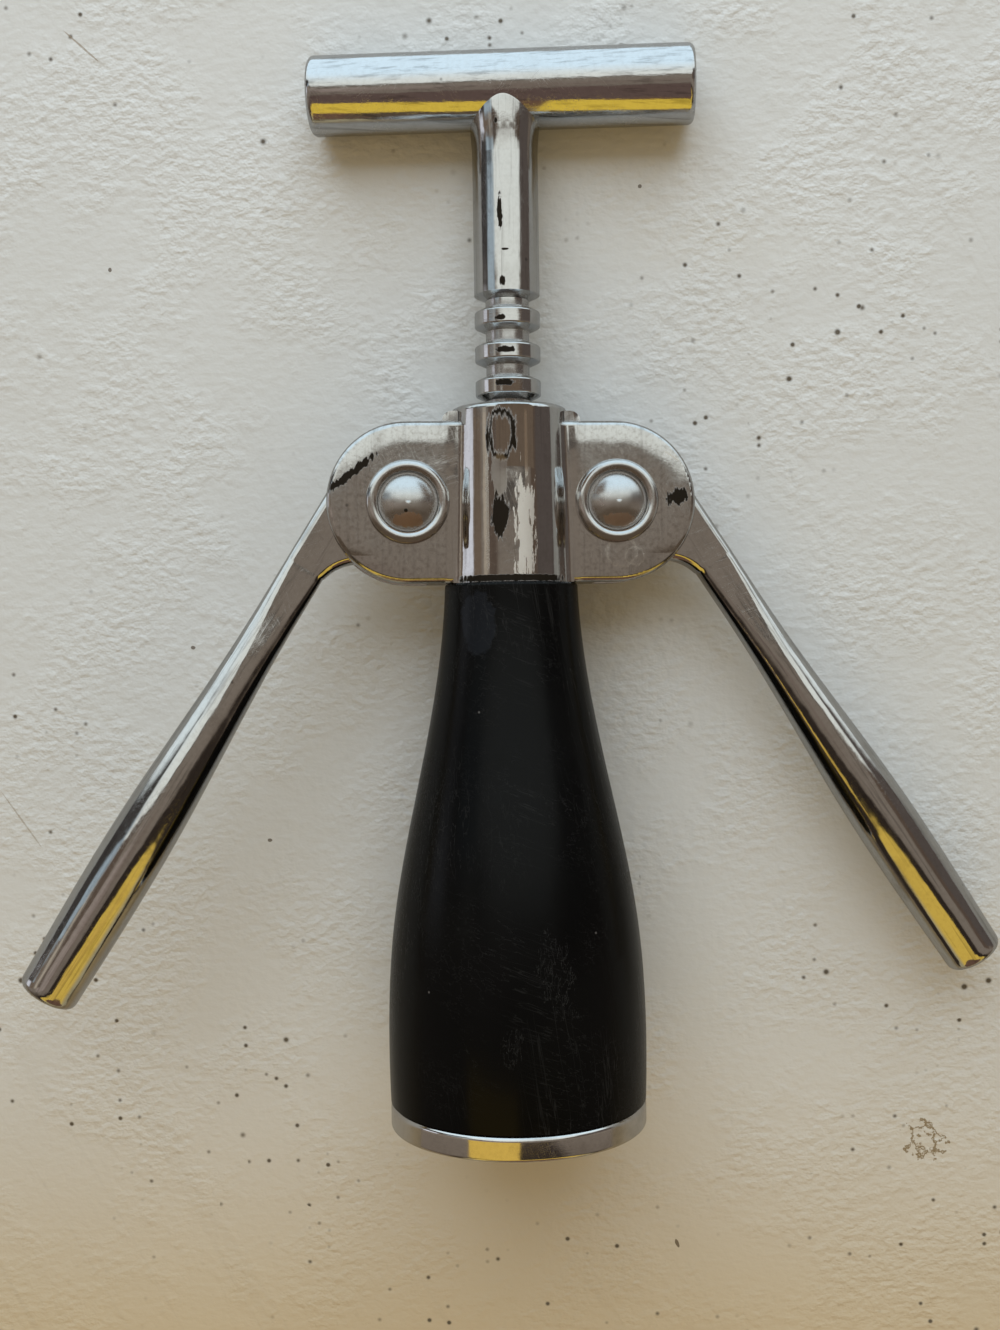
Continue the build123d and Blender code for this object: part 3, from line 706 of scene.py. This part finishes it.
@dataclass
class Bell(SubAssembly):
    """The plastic bell, its bright ring and the nut that holds it."""

    ring_radius: float = 18.7
    ring_height: float = 3.7
    ring_wall: float = 1.0
    ring_lip: float = 0.6
    ring_brow: float = 0.95
    ring_foot: float = 0.5
    ring_steps: int = 144
    edge_steps: int = 6
    ring: Chrome = Chrome(
        "ring chrome", (0.72, 0.71, 0.7), 0.1, lay=Lay.ROUND, grime=0.3, tarnish=0.4, waviness=0.5,
    )
    nut: Chrome = Chrome("nut steel", (0.5, 0.49, 0.47), 0.3, lay=Lay.ROUND)
    plastic: SatinPlastic = SatinPlastic("bell plastic", marks=BELL_PAINTED_HIGHLIGHT, scuffs=BELL_SCUFFS)

    def build(self) -> None:
        """Dress the bell's pieces."""
        self.dress(self.plastic, "bell")
        self.base_ring().data.materials.append(self.ring.build(self.shop))
        self.dress(self.nut, "bell_nut")

    def base_ring(self) -> bpy.types.Object:
        """Spin the ring at the bell's foot, with its brow rounded."""
        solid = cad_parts["base_ring"].data
        mouth = min(vertex.co.xy.length for vertex in solid.vertices)
        radius, height = self.ring_radius * MM, self.ring_height * MM
        inner, lip = radius - self.ring_wall * MM, self.ring_lip * MM
        outline = ((mouth, 0.0), (radius, 0.0), (radius, height), (inner, height), (inner, lip), (mouth, lip))
        mesh = bmesh.new()
        corners = [mesh.verts.new((reach, 0.0, rise)) for reach, rise in outline]
        edges = [mesh.edges.new((corners[index - 1], corners[index])) for index in range(len(corners))]
        bmesh.ops.spin(
            mesh, geom=corners + edges, cent=(0, 0, 0), axis=(0, 0, 1), angle=math.tau,
            steps=self.ring_steps, use_merge=True,
        )
        for rise, width in ((height, self.ring_brow), (0.0, self.ring_foot)):
            rim = [
                edge for edge in mesh.edges
                if all(abs(end.co.z - rise) < TOUCHING for end in edge.verts)
                and all(abs(end.co.xy.length - radius) < TOUCHING for end in edge.verts)
            ]
            bmesh.ops.bevel(
                mesh, geom=rim, offset=width * MM, affect="EDGES", segments=self.edge_steps,
                profile=0.5, material=-1,
            )
        return self.settle(mesh, "base_ring", "frame", "polished_chrome")


@dataclass
class Casting(SubAssembly):
    """The frame casting with its rivets, caps and washers."""

    cast: Chrome = CastChrome(
        "cast chrome", roughness=0.05, brushing=3.0, scratches=0.4, grime=0.9, mark_grain=0.16,
        marks=CAST_MARKS,
    )
    washers: Chrome = Chrome(
        "washer chrome", roughness=0.18, brushing=0.0, grime=0.9, grime_distance=0.6, waviness=0.2,
    )
    rivets: Chrome = Chrome(
        "rivet chrome", roughness=0.27, brushing=0.0, grime=0.4, waviness=0.2, marks=RIVET_PAINTED_REFLECTIONS,
    )

    def build(self) -> None:
        """Dress the casting and what is riveted to it."""
        self.dress(self.cast, "frame_casting")
        sides, faces, kinds = ("left", "right"), ("front", "rear"), ("rivet", "rivet_cap")
        self.dress(self.washers, *(f"{side}_{face}_washer" for side in sides for face in faces))
        self.dress(self.rivets, *(f"{side}_{kind}" for side in sides for kind in kinds))


def open_edges(items: list) -> list[bmesh.types.BMEdge]:
    """Return the edges with one face among the results of a mesh operation."""
    return [item for item in items if isinstance(item, bmesh.types.BMEdge) and item.is_boundary]


@dataclass(frozen=True)
class Station:
    """A cross-section of a lever at a distance along its handle, in millimetres."""

    along: float
    width: float
    thickness: float
    rounding: float

    def sizes(self) -> Triple:
        """Return the section's three sizes."""
        return self.width, self.thickness, self.rounding


@dataclass
class Levers(SubAssembly):
    """The two levers with their toothed sectors, in millimetres and degrees.

    Attributes:
        angles: The left and the right handle's angle from straight down.
        offset: How far outside the pivot a handle's axis passes.
        cut: How far along the handle the solid's arm is cut away.
        easing: How far to each side a section is averaged.
        step: The distance between two loops of the arm.
        corners: The points of each quarter of a loop.
    """

    chrome: Chrome = Chrome(
        "lever chrome", roughness=0.06, lay=Lay.SPLAYED, tarnish=0.25, scratches=0.45, brushing=6.0,
    )
    pivot: Pair = (15.0608, 90.6)
    angles: Pair = (31.9, 33.4)
    offset: float = 7.82
    length: float = 87.3
    cut: float = 15.4
    stations: tuple[Station, ...] = (
        Station(14.8, 5.95, 4.2, 1.2),
        Station(18.0, 5.96, 4.4, 1.4),
        Station(24.0, 5.98, 4.9, 1.95),
        Station(31.0, 6.3, 6.0, 2.8),
        Station(38.0, 6.95, 6.9, 3.4),
        Station(45.0, 7.75, 7.75, 3.86),
        Station(55.0, 8.85, 8.85, 4.41),
        Station(62.0, 9.25, 9.25, 4.61),
        Station(70.0, 9.27, 9.27, 4.62),
        Station(78.0, 9.0, 9.0, 4.49),
        Station(86.1, 8.6, 8.6, 4.29),
    )
    easing: float = 3.6
    easing_steps: int = 6
    tip_rounding: float = 1.2
    tip_steps: int = 5
    first_step: float = 0.3
    step: float = 0.8
    corners: int = 18
    crisp_angle: float = 28.0

    def size(self, along: float) -> Triple:
        """Return the width, thickness and rounding at one distance, eased between the stations."""
        total, steps = [0.0, 0.0, 0.0], self.easing_steps
        shares = [(index / steps, 1.0 - abs(index) / (steps + 1)) for index in range(-steps, steps + 1)]
        weight = sum(share for _, share in shares)
        for shift, share in shares:
            here = min(max(along + shift * self.easing, self.stations[0].along), self.stations[-1].along)
            after = next(number for number, station in enumerate(self.stations) if station.along >= here)
            low, high = self.stations[max(after - 1, 0)], self.stations[after]
            part = (here - low.along) / max(high.along - low.along, 1e-9)
            for number, (first, last) in enumerate(zip(low.sizes(), high.sizes())):
                total[number] += share * (first + (last - first) * part) / weight
        return total[0], total[1], total[2]

    def section(self, along: float, shrink: float = 0.0) -> list[Pair]:
        """Return one cross-section, outward and sideways from the handle's axis, in millimetres."""
        width, thickness, rounding = self.size(along)
        rounding = min(rounding, width / 2 - 0.01, thickness / 2 - 0.01)
        points = []
        for quarter in range(4):
            across = 1 if quarter in (0, 3) else -1
            aside = 1 if quarter in (0, 1) else -1
            for number in range(self.corners):
                turn = math.radians(90.0 * (quarter + (number + 0.5) / self.corners))
                points.append((
                    across * (width / 2 - rounding) + (rounding - shrink) * math.cos(turn),
                    aside * (thickness / 2 - rounding) + (rounding - shrink) * math.sin(turn),
                ))
        return points

    def stops(self) -> list[Pair]:
        """Return where the loops stand along the handle, and how far each one is drawn in."""
        start, last = self.cut + self.first_step, self.length - self.tip_rounding
        count = int((last - start) / self.step)
        stops = [(start + self.step * number, 0.0) for number in range(1, count + 1)]
        stops.append((last, 0.0))
        for number in range(1, self.tip_steps + 1):
            bend = math.radians(90.0 * number / self.tip_steps)
            shrink = self.tip_rounding * (1.0 - math.cos(bend))
            stops.append((last + self.tip_rounding * math.sin(bend), shrink))
        return stops

    def arm(self, name: str, side: int, angle: float) -> bpy.types.Object:
        """Carry one lever's blade on into its round handle, as one smooth shape.

        Args:
            name: The lever's solid, whose sector and crook are kept.
            side: -1 for the left lever and 1 for the right one.
            angle: The handle's angle from straight down, in degrees.

        Returns:
            The piece.
        """
        turn = math.radians(angle)
        down = Vector((side * math.sin(turn), 0.0, -math.cos(turn)))
        out = Vector((side * math.cos(turn), 0.0, math.sin(turn)))
        sideways = Vector((0.0, 1.0, 0.0))
        start = Vector((side * self.pivot[0], 0.0, self.pivot[1])) + self.offset * out
        mesh = bmesh.new()
        mesh.from_mesh(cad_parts[name].data)
        bmesh.ops.remove_doubles(mesh, verts=mesh.verts, dist=TOUCHING)
        kept = bmesh.ops.bisect_plane(
            mesh, geom=mesh.verts[:] + mesh.edges[:] + mesh.faces[:], dist=1e-7,
            plane_co=(start + self.cut * down) * MM, plane_no=down, clear_outer=True,
        )
        stub = open_edges(kept["geom_cut"])

        def place(vertices: list[bmesh.types.BMVert], points: list[Pair], along: float) -> None:
            """Move one loop's vertices to a section's points."""
            for vertex, (across, aside) in zip(vertices, points):
                vertex.co = (start + along * down + across * out + aside * sideways) * MM

        loop = bmesh.ops.create_circle(mesh, segments=4 * self.corners, radius=MM)["verts"]
        along = self.cut + self.first_step
        place(loop, self.section(along), along)
        rim = [edge for vertex in loop for edge in vertex.link_edges if edge.other_vert(vertex) in loop]
        rim = list(dict.fromkeys(rim))
        bmesh.ops.bridge_loops(mesh, edges=stub + rim)
        for here, shrink in self.stops():
            grown = bmesh.ops.extrude_edge_only(mesh, edges=rim)["geom"]
            rim = open_edges(grown)
            follow = {}
            for vertex in loop:
                ends = (edge.other_vert(vertex) for edge in vertex.link_edges)
                follow[vertex] = next(
                    end for end in ends if end in grown and end not in follow.values()
                    and (end.co - vertex.co).length < 1e-9
                )
            loop = [follow[vertex] for vertex in loop]
            place(loop, self.section(here, shrink), here)
        bmesh.ops.contextual_create(mesh, geom=rim)
        return self.settle(mesh, name, name, "lever_chrome", self.crisp_angle)

    def build(self) -> None:
        """Shape and dress both levers."""
        material = self.chrome.build(self.shop)
        for name, side, angle in zip(("left_lever", "right_lever"), (-1, 1), self.angles):
            self.arm(name, side, angle).data.materials.append(material)


@dataclass
class Screw(SubAssembly):
    """The ringed rack and, turning inside it, the handle with the worm."""

    rack: Chrome = Chrome(
        "rack chrome", roughness=0.1, lay=Lay.ROUND, grime=0.9, grime_distance=1.3, wear=0.8,
        marks=RACK_MARKS,
    )
    stem: Chrome = Chrome("stem chrome", tarnish=0.2, scratches=0.6, brushing=7.0, marks=STEM_MARKS)
    bar: Chrome = Chrome(
        "crossbar chrome", (0.66, 0.66, 0.66), 0.09, lay=Lay.LEVEL, tarnish=0.12, scratches=1.0,
        brushing=7.0, waviness=0.3,
    )
    worm: Chrome = Chrome("worm steel", (0.55, 0.54, 0.52), 0.2, lay=Lay.ROUND)

    def build(self) -> None:
        """Dress the rack, the handle and the worm."""
        self.dress(self.rack, "rack")
        self.dress(self.stem, "stem")
        self.dress(self.bar, "crossbar")
        self.dress(self.worm, "worm", "worm_pin")


# ------------------------------------------------------------------ camera, surface and light
@dataclass(frozen=True)
class Viewpoint:
    """Where the camera stands, in millimetres and degrees."""

    place: Triple = (-20.7, -220.8, 69.96)
    yaw: float = -4.89
    pitch: float = -0.742
    roll: float = -0.843
    focal_pixels: float = 1511.3
    frame_height: float = 1330.0
    sensor: float = 36.0

    def axes(self) -> tuple[Vector, Vector, Vector]:
        """Return the camera's right, up and forward directions."""
        turn = Matrix.Rotation(math.radians(self.yaw), 3, "Z")
        right, up, ahead = (turn @ Vector(axis) for axis in ((1, 0, 0), (0, 0, 1), (0, 1, 0)))

        def swing(first: Vector, angle: float) -> tuple[Vector, Vector]:
            """Turn one direction towards up, and up away from it."""
            cosine, sine = math.cos(math.radians(angle)), math.sin(math.radians(angle))
            return cosine * first + sine * up, cosine * up - sine * first

        ahead, up = swing(ahead, self.pitch)
        right, up = swing(right, self.roll)
        return right, up, ahead

    def build(self) -> None:
        """Build the camera and make it the scene's own."""
        right, up, ahead = self.axes()
        camera = show("camera", bpy.data.cameras.new("camera"))
        stand = Matrix((right, up, -ahead)).transposed().to_4x4()
        stand.translation = Vector(self.place) * MM
        camera.matrix_world = stand
        camera.data.sensor_width = self.sensor
        camera.data.lens = self.sensor * self.focal_pixels / self.frame_height
        camera.data.clip_start = 0.01
        bpy.context.scene.camera = camera
        LOG.info("camera: lens %.2f mm", camera.data.lens)


@dataclass
class Surface:
    """The painted sill that the corkscrew lies on, behind it in the upright frame.

    Sizes are in millimetres and turns in degrees. Mirrors show it dimmed to its
    mirror level, and not above its mirror top.
    """

    shop: EffectShop
    bar_turn: float = 8.0
    tip_back: float = -5.7
    behind: float = 20.9
    half_width: float = 900.0
    centre_height: float = 75.0
    top_colour: Colour = (0.575, 0.595, 0.59)
    # Painted shade and warm light: the sill's colour grows darker and warmer towards the bottom.
    painted_shade_colour: Colour = (0.575, 0.565, 0.52)
    painted_warm_shade_colour: Colour = (0.52, 0.43, 0.28)
    mottle_colour: Colour = (0.35, 0.33, 0.27)
    crack_colour: Colour = (0.3, 0.27, 0.22)
    speck_colour: Colour = (0.09, 0.075, 0.055)
    mirror_colour: Colour = (0.02, 0.018, 0.014)
    mirror_top: float = 178.0
    mirror_level: float = 0.58
    marks: tuple[Mark, ...] = SILL_MARKS

    def basis(self) -> tuple[Vector, Vector, Vector]:
        """Return the surface's across, upward and outward directions."""
        turn, tip = math.radians(self.bar_turn), math.radians(self.tip_back)
        across = Vector((math.cos(turn), -math.sin(turn), 0.0))
        level = Vector((-math.sin(turn), -math.cos(turn), 0.0))
        outward = math.cos(tip) * level + math.sin(tip) * Vector((0.0, 0.0, 1.0))
        return across, outward.cross(across), outward

    def tint(self, graph: Graph, place: Socket) -> Socket:
        """Return the paint's colour, with its dirt and its marks, and with painted shade that grows darker and
        warmer towards the bottom.
        """
        shop, height = self.shop, graph.split(place)[2]
        mottle = graph.effect(shop.cloud, Vector=place, Scale=35.0, Low=0.3, High=0.7)
        cracks = graph.effect(shop.hairlines, Vector=place, Scale=60.0, Turn=0.5, Share=0.35)
        dirty = graph.effect(shop.cloud, Vector=place, Scale=22.0, Low=0.45, High=0.62)
        fine = graph.effect(shop.specks, Vector=place, Scale=620.0, Share=0.1, Size=0.34)
        coarse = graph.effect(shop.specks, Vector=place, Scale=280.0, Share=0.12, Size=0.2)
        specks = graph.math("MAXIMUM", fine, coarse)
        specks = graph.times(specks, graph.math("MULTIPLY_ADD", dirty, 1.6, 0.06), clamp=True)
        # Painted shade: darker, then warmer, towards the bottom of the sill.
        low = graph.span(height, -0.04, 0.09, 1.0, 0.0)
        colour = graph.layers(
            graph.blend(low, self.top_colour, self.painted_shade_colour),
            (graph.span(height, -0.06, 0.01, 1.0, 0.0), self.painted_warm_shade_colour),
            (graph.times(mottle, 0.04), self.mottle_colour),
            (graph.times(cracks, 0.2), self.crack_colour),
            (specks, self.speck_colour),
        )
        ragged = graph.noise(place, 700.0, 3.0, 0.6)
        for mark in self.marks:
            colour = graph.blend(mark.draw(graph, shop, place, ragged), colour, mark.colour)
        return colour

    def relief(self, graph: Graph, place: Socket) -> Socket:
        """Return the normal of the paint's orange peel, which is rougher in patches."""
        peel = graph.noise(graph.vector("MULTIPLY", place, (1.0, 1.0, 1.35)), 620.0, 2.0, 0.5)
        rough = graph.effect(self.shop.cloud, Vector=place, Scale=48.0, Low=0.38, High=0.62)
        peel = graph.times(peel, graph.math("MULTIPLY_ADD", rough, 0.75, 0.25))
        bump = graph.add("Bump", {"Height": peel, "Strength": 0.65, "Distance": 0.6 * MM})
        return bump.outputs[0]

    def paint(self) -> bpy.types.Material:
        """Build the sill's paint, which is seen only from the object's side."""
        material, graph, shader = blank("sill paint")
        place, path = graph.place(), graph.add("LightPath").outputs
        # Mirrors see the sill dimmed towards its mirror colour: painted shade in its reflection.
        mirrors = path["Is Glossy Ray"]
        dimmed = graph.times(mirrors, 1.0 - self.mirror_level)
        colour = graph.blend(dimmed, self.tint(graph, place), self.mirror_colour)
        graph.fill(shader, {"Base Color": colour, "Roughness": 0.45, "Normal": self.relief(graph, place)})
        behind = graph.add("NewGeometry").outputs["Backfacing"]
        beyond = graph.math("GREATER_THAN", graph.split(place)[2], self.mirror_top * MM)
        hidden = graph.math("MAXIMUM", behind, path["Is Shadow Ray"])
        hidden = graph.math("MAXIMUM", hidden, graph.times(beyond, mirrors))
        graph.hide(shader.outputs[0], hidden)
        return material

    def build(self) -> None:
        """Build the sill as a stage piece."""
        across, upward, outward = self.basis()
        middle = (-self.behind * outward + self.centre_height * upward) * MM
        reach = self.half_width * MM
        ends = ((-1, -1), (1, -1), (1, 1), (-1, 1))
        corners = [middle + reach * (wide * across + high * upward) for wide, high in ends]
        sill = sheet("sill", corners, outward, self.paint())
        LOG.info("sill: %.0f mm behind the bell's axis", self.behind)


def oblong(low: Triple, high: Triple) -> tuple[Triple, ...]:
    """Return the corners of a level or upright rectangle between two opposite ones."""
    (left, front, foot), (right, back, top) = low, high
    return (left, front, foot), (right, front, foot), (right, back, top), (left, back, top)


@dataclass(frozen=True)
class Card:
    """A glowing coloured card by the corkscrew that only mirrors show, and only from its face: a painted
    reflection, not a lamp.

    Attributes:
        corners: Its corners in order, in millimetres. Its face looks back or up.
    """

    name: str
    corners: tuple[Triple, ...]
    colour: Colour

    def build(self) -> None:
        """Hang the card."""
        material, graph, _ = blank(self.name)
        glow = graph.add("Emission", {"Color": self.colour}).outputs[0]
        graph.hide(glow, graph.add("NewGeometry").outputs["Backfacing"])
        corners = [Vector(corner) * MM for corner in self.corners]
        card = sheet(self.name, corners, Vector((0.0, 1.0, 1.0)), material)
        for kind in ("camera", "diffuse", "shadow", "transmission", "volume_scatter"):
            setattr(card, f"visible_{kind}", False)


@dataclass(frozen=True)
class Patch:
    """A patch of another colour on the room's walls.

    Attributes:
        bounds: Its first and last bearing, then its lowest and highest rise.
        soft: The softness of its edges.
        share: How much of the wall's own colour it hides.
    """

    bounds: tuple[float, float, float, float]
    soft: float
    share: float
    colour: Colour

    def lay(self, graph: Graph, room: Socket, around: Socket, rise: Socket) -> Socket:
        """Return the room with the patch laid over it."""
        first, last, low, high = self.bounds
        wide = graph.between(around, first, last, self.soft)
        mask = graph.times(wide, graph.between(rise, low, high, self.soft * 0.5))
        return graph.blend(graph.times(mask, self.share), room, self.colour)


# Glowing cards that only mirrors show: painted reflections of a brown and yellow room on the bar, the tube, the
# ring and the rivets.
BAR_YELLOW_REFLECTION: Colour = (0.85, 0.6, 0.08)
RIVET_BROWN_REFLECTION: Colour = (0.11, 0.08, 0.055)
PAINTED_REFLECTION_CARDS = (
    Card("brown card before the bar", oblong((-110, -142, 108), (60, -36, 108)), (0.13, 0.088, 0.075)),
    Card("brown card before the tube", oblong((-6, -14, 96), (8, -14, 112)), (0.17, 0.125, 0.09)),
    Card("yellow card before the ring", oblong((-60, -60, -26), (-6, -60, -4)), (0.75, 0.5, 0.1)),
    Card(
        "yellow card below the bar, left",
        ((-40, -29, 125), (-6, -24, 125), (-6, -8, 125), (-40, -9, 125)), BAR_YELLOW_REFLECTION,
    ),
    Card(
        "yellow card below the bar, right",
        ((3, -23, 125), (44, -19, 125), (44, -5, 125), (3, -7, 125)), BAR_YELLOW_REFLECTION,
    ),
    Card("brown card below the left rivet", oblong((-34, -34, 83), (-4, -5.2, 83)), RIVET_BROWN_REFLECTION),
    Card("brown card below the right rivet", oblong((4, -34, 83), (34, -5.2, 83)), RIVET_BROWN_REFLECTION),
)
LOW_PATCHES = (
    Patch((-50.0, -14.0, -8.0, 2.0), 4.0, 0.8, (0.4, 0.33, 0.29)),
    Patch((-97.0, -80.0, 2.0, 13.0), 2.0, 1.0, (0.85, 0.87, 0.95)),
    Patch((-79.0, -62.0, 2.0, 13.0), 2.0, 1.0, (0.2, 0.15, 0.11)),
    Patch((-57.0, -50.0, 2.0, 12.0), 2.0, 0.7, (0.62, 0.54, 0.43)),
    Patch((-25.0, 0.0, -12.0, -3.0), 4.0, 0.25, (0.14, 0.08, 0.065)),
    Patch((-47.0, -30.0, 2.0, 14.0), 3.0, 0.8, (0.11, 0.075, 0.055)),
    Patch((34.0, 60.0, -2.0, 14.0), 3.0, 0.85, (0.1, 0.065, 0.045)),
    Patch((66.0, 88.0, -2.0, 12.0), 3.0, 0.7, (0.13, 0.09, 0.07)),
)
HIGH_PATCHES = (
    Patch((-108.0, -50.0, 13.0, 27.0), 4.0, 1.0, (0.06, 0.055, 0.052)),
    Patch((-73.0, -46.0, 12.0, 18.0), 3.0, 0.85, (0.5, 0.62, 0.7)),
    Patch((46.0, 104.0, 3.0, 23.0), 4.0, 1.0, (0.11, 0.09, 0.08)),
)


@dataclass
class Room:
    """Soft window light from above and the dim room that the chrome mirrors.

    Angles are in degrees: around is measured from straight ahead of the
    corkscrew's front towards its right, and rise from level upwards.
    """

    sill: Surface
    fill: float = 0.45
    fill_low: Colour = (1.0, 0.66, 0.31)
    fill_high: Colour = (0.98, 0.97, 0.83)
    window_power: float = 11.4
    window_size: float = 1.1
    window_colour: Colour = (0.9, 1.01, 1.13)
    glow_power: float = 0.12
    glow_size: float = 0.25
    glow_colour: Colour = (1.0, 0.75, 0.35)
    rear_power: float = 3.0
    rear_size: float = 0.6
    low_axis: Triple = (0.07, -0.4, -0.91)

    def mirrored(self, graph: Graph) -> Socket:
        """Return the colour of the room in each direction."""
        direction = graph.add("TexCoord").outputs["Generated"]
        x, y, z = graph.split(direction)
        degrees = 180.0 / math.pi
        around = graph.times(graph.math("ARCTAN2", x, graph.times(y, -1.0)), degrees)
        rise = graph.times(graph.math("ARCSINE", z), degrees)
        aside = graph.math("ABSOLUTE", around)
        axis = Vector(self.low_axis).normalized()
        cone = graph.math("ARCCOSINE", graph.vector("DOT_PRODUCT", direction, tuple(axis)))
        cone = graph.times(cone, degrees)

        room = graph.blend(graph.span(rise, -30.0, -8.0), (0.13, 0.1, 0.075), (0.245, 0.205, 0.168))
        for patch in LOW_PATCHES:
            room = patch.lay(graph, room, around, rise)
        glow = graph.blend(graph.span(aside, 50.0, 80.0), (0.8, 0.55, 0.1), (0.42, 0.37, 0.23))
        sky = graph.blend(graph.span(rise, 14.0, 50.0), (0.96, 1.0, 0.95), (0.96, 1.2, 1.36))
        above = graph.math("SUBTRACT", rise, graph.span(aside, 18.0, 50.0, 9.3, 15.0))
        shaded = graph.span(aside, 20.0, 32.0, 0.85, 0.0)
        room = graph.layers(
            room,
            (graph.between(cone, 40.0, 50.0, 1.2), (0.035, 0.026, 0.02)),
            (graph.between(cone, 26.0, 40.3, 0.8), glow),
            (graph.span(cone, 24.5, 26.5, 1.0, 0.0), (0.16, 0.09, 0.06)),
            (graph.span(above, -0.6, 0.6), sky),
            (graph.times(graph.between(above, -1.9, -0.9, 0.4), shaded), (0.05, 0.045, 0.04)),
        )
        for patch in HIGH_PATCHES:
            room = patch.lay(graph, room, around, rise)
        return room

    def world(self) -> None:
        """Build the world: an even fill, and a room for mirror reflections."""
        world = bpy.data.worlds.new("room")
        bpy.context.scene.world = world
        world.use_nodes = True
        graph, nodes = Graph(world.node_tree), world.node_tree.nodes
        background = nodes["Background"]
        height = graph.split(graph.add("TexCoord").outputs["Generated"])[2]
        fill = graph.blend(graph.span(height, -0.7, 0.7), self.fill_low, self.fill_high)
        graph.fill(background, {"Color": fill, "Strength": self.fill})
        mirror = graph.add("Background", {"Color": self.mirrored(graph), "Strength": 1.0})
        plain = graph.add("Background", {"Color": (0.8, 0.8, 0.78), "Strength": 1.0})
        path = graph.add("LightPath").outputs
        lit = graph.mix(path["Is Glossy Ray"], background.outputs[0], mirror.outputs[0])
        seen = graph.mix(path["Is Camera Ray"], lit, plain.outputs[0])
        graph.feed(nodes["World Output"].inputs["Surface"], seen)

    def lamp(self, name: str, place: Vector, aim: Vector, size: float, power: float, colour: Colour) -> None:
        """Add one square area lamp.

        Args:
            name: The lamp's name.
            place: Where it hangs, in metres.
            aim: The point it faces, in metres.
            size: Its side, in metres.
            power: Its power, in watts.
            colour: Its colour.
        """
        data = bpy.data.lights.new(name, "AREA")
        data.shape = "SQUARE"
        data.size, data.energy, data.color = size, power, colour
        lamp = show(name, data)
        lamp.location = place
        lamp.visible_glossy = False
        lamp.rotation_euler = (place - aim).to_track_quat("Z", "Y").to_euler()

    def build(self) -> None:
        """Build the world, the lamps and the glowing cards that paint reflections."""
        self.world()
        across, upward, outward = self.sill.basis()
        middle, foot = Vector((0.0, 0.0, 0.075)), Vector((0.0, 0.0, -0.02))
        window = middle + 0.95 * (0.56 * outward + 0.82 * upward - 0.04 * across)
        self.lamp("window", window, middle, self.window_size, self.window_power, self.window_colour)
        glow = foot + 0.22 * outward - 0.2 * upward
        self.lamp("warm glow", glow, foot, self.glow_size, self.glow_power, self.glow_colour)
        for card in PAINTED_REFLECTION_CARDS:
            card.build()
        behind = middle - 0.9 * outward + 0.3 * upward
        self.lamp("rear fill", behind, middle, self.rear_size, self.rear_power, (1.0, 1.0, 1.0))
        LOG.info("room: fill %.2f, window %.1f W", self.fill, self.window_power)


def main() -> None:
    """Build the camera, the pieces, the sill and the light, in that order."""
    Viewpoint().build()
    scene = bpy.context.scene
    scene.view_settings.view_transform = "Standard"
    shop = EffectShop()
    for kind in (Bell, Casting, Levers, Screw):
        kind(shop).build()
    sill = Surface(shop)
    sill.build()
    Room(sill).build()


if __name__ == "__main__":
    main()
